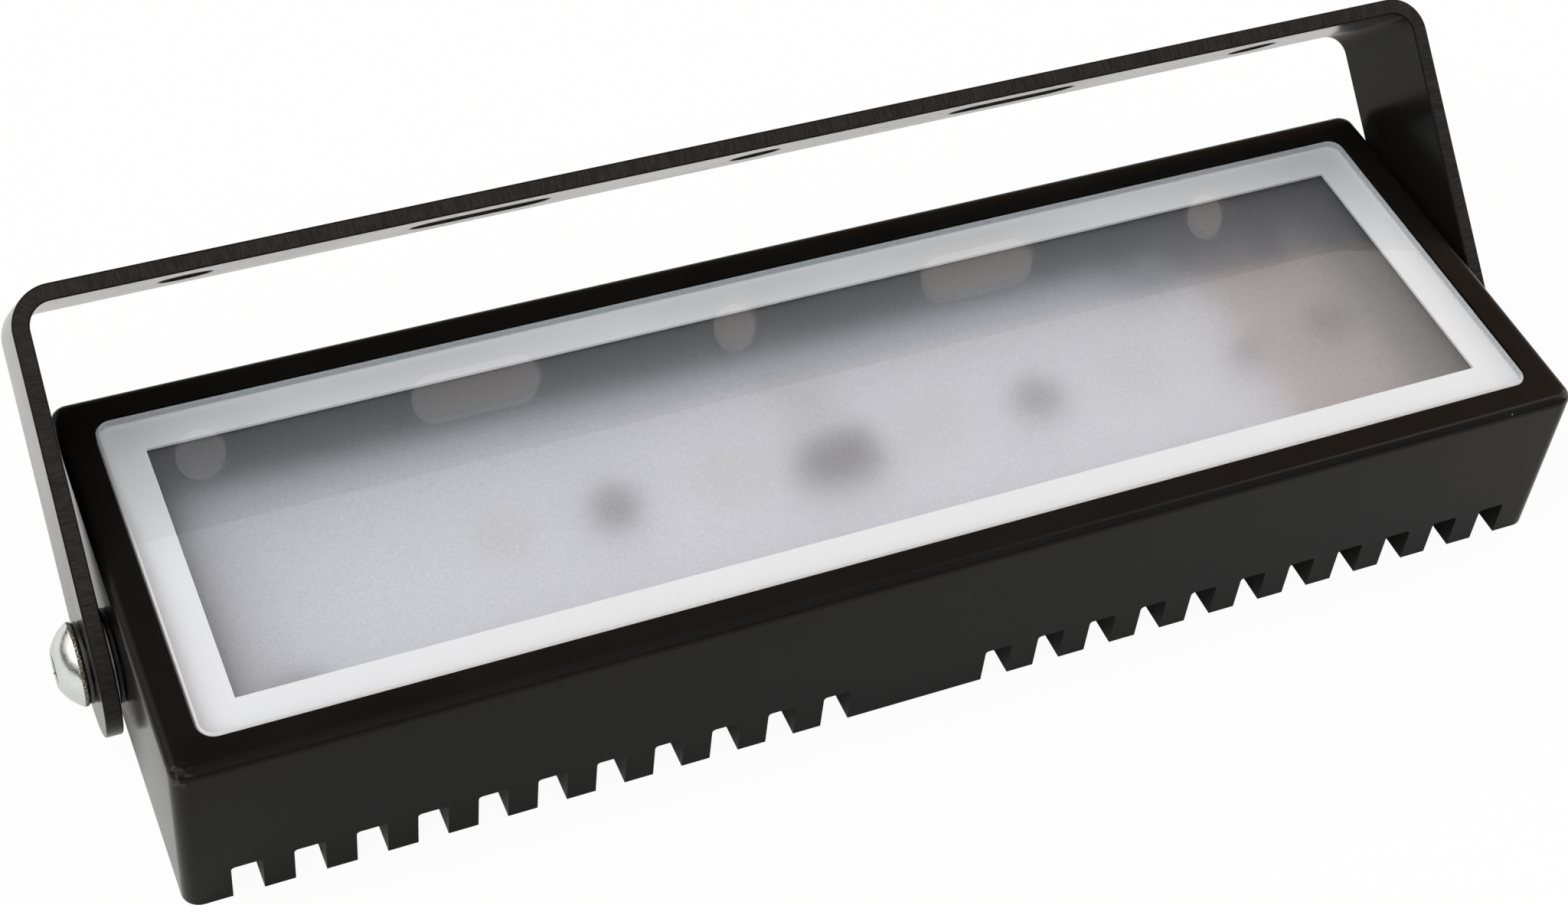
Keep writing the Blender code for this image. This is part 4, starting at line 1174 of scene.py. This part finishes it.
def u_line(leg, radius):
    """One face of the U by its leg's X and its bend's radius, down to both leg ends."""
    leg_end = -BRACKET_WIDTH / 2
    line = [(leg, leg_end)]
    for side, start in ((1, 0), (-1, math.pi / 2)):
        line += bend((side * BEND_X, BEND_Y), radius, start, math.pi / 2, BEND_STEPS)
    return [*line, (-leg, leg_end)]


def leg_end_cutter():
    """What rounds both leg ends about the pivot."""
    radius = BRACKET_WIDTH / 2
    reach = radius + OVERRUN
    end = bend((0, 0), radius, math.pi / 2, math.pi, LEG_END_STEPS)[1:-1]
    points = [(0, reach), (0, radius), *end, (0, -radius), (0, -reach), (-reach, -reach),
              (-reach, reach)]
    side = LEG_OUTER + OVERRUN
    return loft("cutter", [[(x, y, z) for y, z in points] for x in (-side, side)])


def crossbar_cutter(middle, length=2 * HOLE_RADIUS):
    """One round or slotted hole through the crossbar."""
    straight = length / 2 - HOLE_RADIUS
    outline = []
    for side, start in ((1, -math.pi / 2), (-1, math.pi / 2)):
        outline += bend((middle + side * straight, 0), HOLE_RADIUS, start, math.pi, HOLE_STEPS)
        if straight == 0:
            outline.pop()
    return through(outline, REACH - THICKNESS - OVERRUN, REACH + OVERRUN)


def along_sheet(point):
    """How far along the bent sheet and through it a point lies, and the sheet's normal there."""
    side = 1 if point.x > 0 else -1
    over_x = abs(point.x) - BEND_X
    over_y = point.y - BEND_Y
    neutral = INNER_BEND_RADIUS + THICKNESS / 2
    if over_x > 0 and over_y > 0:
        angle = math.atan2(over_x, over_y)
        place = side * (BEND_X + neutral * angle)
        depth = math.hypot(over_x, over_y)
        return place, depth, Vector((side * over_x, over_y, 0)).normalized()
    if over_x > 0:
        return side * (BEND_X + neutral * math.pi / 2 - over_y), over_x, Vector((side, 0, 0))
    return point.x, over_y, Vector((0, 1, 0))


def mark_sheet(data):
    """Writes where each point lies on the flat sheet, and which faces are its cut edges."""
    places = data.attributes.new("sheet_place", "FLOAT_VECTOR", "POINT")
    for vertex, place in zip(data.vertices, places.data):
        along, depth, _ = along_sheet(vertex.co)
        place.vector = (along, vertex.co.z, depth)
    edges = data.attributes.new("cut_edge", "FLOAT", "FACE")
    for polygon, edge in zip(data.polygons, edges.data):
        normal = along_sheet(polygon.center)[2]
        edge.value = 1.0 if abs(polygon.normal.dot(normal)) < CUT_EDGE_SLOPE else 0.0


def make_bracket():
    """The U bracket with its rounded leg ends, holes, slots and cut edges."""
    outer = u_line(LEG_OUTER, INNER_BEND_RADIUS + THICKNESS)
    inner = u_line(LEG_INNER, INNER_BEND_RADIUS)
    half = BRACKET_WIDTH / 2
    bracket = prism(outer + inner[::-1], -half, half, "bracket_sheet")
    reach = LEG_OUTER + OVERRUN
    cutters = [leg_end_cutter(), rod(PIVOT_HOLE_RADIUS, (-reach, 0, 0), (reach, 0, 0))]
    cutters += [crossbar_cutter(middle) for middle in HOLE_PLACES]
    cutters += [crossbar_cutter(middle, SLOT_LENGTH) for middle in SLOT_PLACES]
    cut(bracket, joined(cutters))
    ease(bracket, BRACKET_EDGE)
    settle(bracket, ["bracket_powder_coat"])
    mark_sheet(bracket.data)
    bracket.data.transform(Matrix.Translation(PIVOT) @ Matrix.Rotation(TILT, 4, "X"))
    stand_for(bracket, "bracket_coat", "mounting_bracket", body="bracket")


# Pivots

def head_dome():
    """The dome of a bolt's head: part of a sphere about its axis, from rim to flat top."""
    rise = HEAD_HEIGHT - HEAD_RIM_HEIGHT
    middle = (HEAD_HEIGHT + HEAD_RIM_HEIGHT) / 2
    centre = middle - (HEAD_RADIUS ** 2 - HEAD_FLAT_RADIUS ** 2) / (2 * rise)
    radius = math.hypot(HEAD_RADIUS, HEAD_RIM_HEIGHT - centre)
    low = math.atan2(HEAD_RIM_HEIGHT - centre, HEAD_RADIUS)
    high = math.atan2(HEAD_HEIGHT - centre, HEAD_FLAT_RADIUS)
    return bend((0, centre), radius, low, high - low, DOME_STEPS)


def head_part(face):
    """Which finish a face of a bolt takes: plating, or the rough rim of its head."""
    outside = math.hypot(face.center.x, face.center.y) > HEAD_RADIUS * RIM_SHARE
    return 1 if outside and 0 < face.center.z < HEAD_RIM_HEIGHT else 0


def make_bolt(end, side):
    """A button head bolt: threaded shank, rough rim, domed head and hexagon socket."""
    low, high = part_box(f"pivot_bolt_{end}")
    seat = max(abs(low.x), abs(high.x)) - HEAD_HEIGHT
    mouth = HEX_APOTHEM / math.cos(math.pi / 6) + HEX_LIP
    bolt = turned(f"bolt_{end}", [
        (0, -BOLT_LENGTH),
        (BOLT_RADIUS - BOLT_TIP_CHAMFER, -BOLT_LENGTH),
        *thread(BOLT_RADIUS, BOLT_THREAD_DEPTH, BOLT_PITCH, -BOLT_LENGTH + BOLT_TIP_CHAMFER,
                BOLT_LENGTH - BOLT_PLAIN_LENGTH),
        (BOLT_RADIUS, -BOLT_NECK),
        (BOLT_RADIUS, 0),
        (HEAD_RADIUS - HEAD_EDGE, 0),
        (HEAD_RADIUS, HEAD_EDGE),
        *head_dome(),
        (mouth, HEAD_HEIGHT),
        (hexagon(HEX_APOTHEM, mouth), HEAD_HEIGHT - HEX_MOUTH_DEPTH),
        (hexagon(HEX_APOTHEM), HEAD_HEIGHT - HEX_LEAD_IN),
        (hexagon(HEX_APOTHEM), HEAD_HEIGHT - HEX_DEPTH),
        (0, HEAD_HEIGHT - HEX_DEPTH - HEX_CONE_DEPTH),
    ])
    place_along(bolt, (side * seat, 0, PIVOT.z), turn_y=side * math.pi / 2)
    dress(bolt, "bright_zinc", f"pivot_bolt_{end}", finishes=("bright_zinc", "rough_bolt_rim"),
          pick=head_part)


def make_washer(kind, end, side, slot, finishes=()):
    """A flat washer with eased edges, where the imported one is."""
    low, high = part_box(f"{kind}_{end}")
    half = (high.x - low.x) / 2
    washer = tube(f"{kind}_ring_{end}", WASHER_BORE, high.y, -half, half)
    place_along(washer, ((low.x + high.x) / 2, 0, PIVOT.z), turn_y=side * math.pi / 2)
    dress(washer, slot, f"{kind}_{end}", finishes=finishes, edge=WASHER_EDGE)


def make_pivots():
    """Both pivots: bolts, washers and the inserts they turn in."""
    for side, end in ((-1, "left"), (1, "right")):
        make_bolt(end, side)
        make_washer("head_washer", end, side, "dark_steel")
        make_washer("spacer_washer", end, side, "bright_zinc", ["dull_zinc"])
        make_washer("friction_washer", end, side, "black_moulding")
        frame["nodes"][f"thread_insert_{end}"].material_slots[0].material = FINISHES["dark_steel"]


# Stage

def make_floor():
    """A large plain floor that shows nearly white and keeps a faint shadow."""
    outline = rounded(FLOOR_REACH, FLOOR_REACH, FLOOR_REACH / 2)
    floor = prism(outline, FLOOR_BOTTOM, FLOOR_HEIGHT, "floor")
    paper = bpy.data.materials.new("white_floor")
    paper.use_nodes = True
    tree = paper.node_tree
    tree.nodes.clear()
    seen = either(tree, "Is Camera Ray", "Is Transmission Ray")
    glossy = node(tree, "LightPath").outputs["Is Glossy Ray"]
    share = calculate("MAXIMUM", calculate("MULTIPLY", seen, FLOOR_GLOW),
                      calculate("MULTIPLY", glossy, FLOOR_GLOSSY_GLOW))
    matt = node(tree, "BsdfDiffuse", {"Color": FLOOR_COLOUR})
    glow = node(tree, "Emission", {"Color": (1.0, 1.0, 1.0), "Strength": 1.0})
    both = node(tree, "MixShader", {0: share, 1: matt.outputs[0], 2: glow.outputs[0]})
    node(tree, "OutputMaterial", {"Surface": both.outputs[0]})
    floor.data.materials.append(paper)


def lobe(direction, toward, inner, outer):
    """How much a direction lies in a soft round patch of the sky, from 0 to 1."""
    inputs = {0: direction, 1: Vector(toward).normalized()}
    near = node(direction, "VectorMath", inputs, operation="DOT_PRODUCT").outputs["Value"]
    rim = math.cos(math.radians(outer))
    core = math.cos(math.radians(inner))
    return spread(near, rim, core, kind="SMOOTHSTEP")


def make_sky():
    """White all round for the camera; for the light, a soft studio with a large soft key."""
    world = bpy.data.worlds.new("studio")
    bpy.context.scene.world = world
    world.use_nodes = True
    tree = world.node_tree
    tree.nodes.clear()
    direction = node(tree, "TexCoord").outputs["Generated"]
    height = node(tree, "SeparateXYZ", {0: direction}).outputs["Z"]
    colour = blend(spread(height, *SKY_BAND), SKY_HORIZON, SKY_CEILING)
    for kind, patches in (("MIX", SKY_SHADES), ("ADD", SKY_PATCHES)):
        for *where, tone in patches:
            colour = blend(lobe(direction, *where), colour, tone, kind)
    seen = either(tree, "Is Camera Ray", "Is Transmission Ray")
    colour = blend(seen, colour, (1.0, 1.0, 1.0))
    light = node(tree, "Background", {"Color": colour, "Strength": 1.0})
    node(tree, "OutputWorld", {"Surface": light.outputs[0]})


def make_camera():
    """The photograph's viewpoint."""
    data = bpy.data.cameras.new("camera")
    data.sensor_fit = "HORIZONTAL"
    data.sensor_width = CAMERA_SENSOR_WIDTH
    data.lens = CAMERA_LENS
    data.shift_x, data.shift_y = CAMERA_SHIFT
    data.clip_start, data.clip_end = CAMERA_CLIP
    camera = new_object("camera", data)
    camera.location = CAMERA_PLACE
    camera.rotation_euler = [math.radians(angle) for angle in CAMERA_TURN]
    bpy.context.scene.camera = camera


def corners(box):
    """A box as plain lists of numbers."""
    return [[float(value) for value in corner] for corner in box]


def main():
    """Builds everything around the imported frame."""
    bpy.context.scene.view_settings.view_transform = "Standard"
    make_finishes()
    make_camera()
    make_housing()
    make_window()
    make_board()
    make_board_extras()
    make_regulator()
    make_supply()
    make_connector()
    make_bracket()
    make_pivots()
    make_floor()
    make_sky()


main()
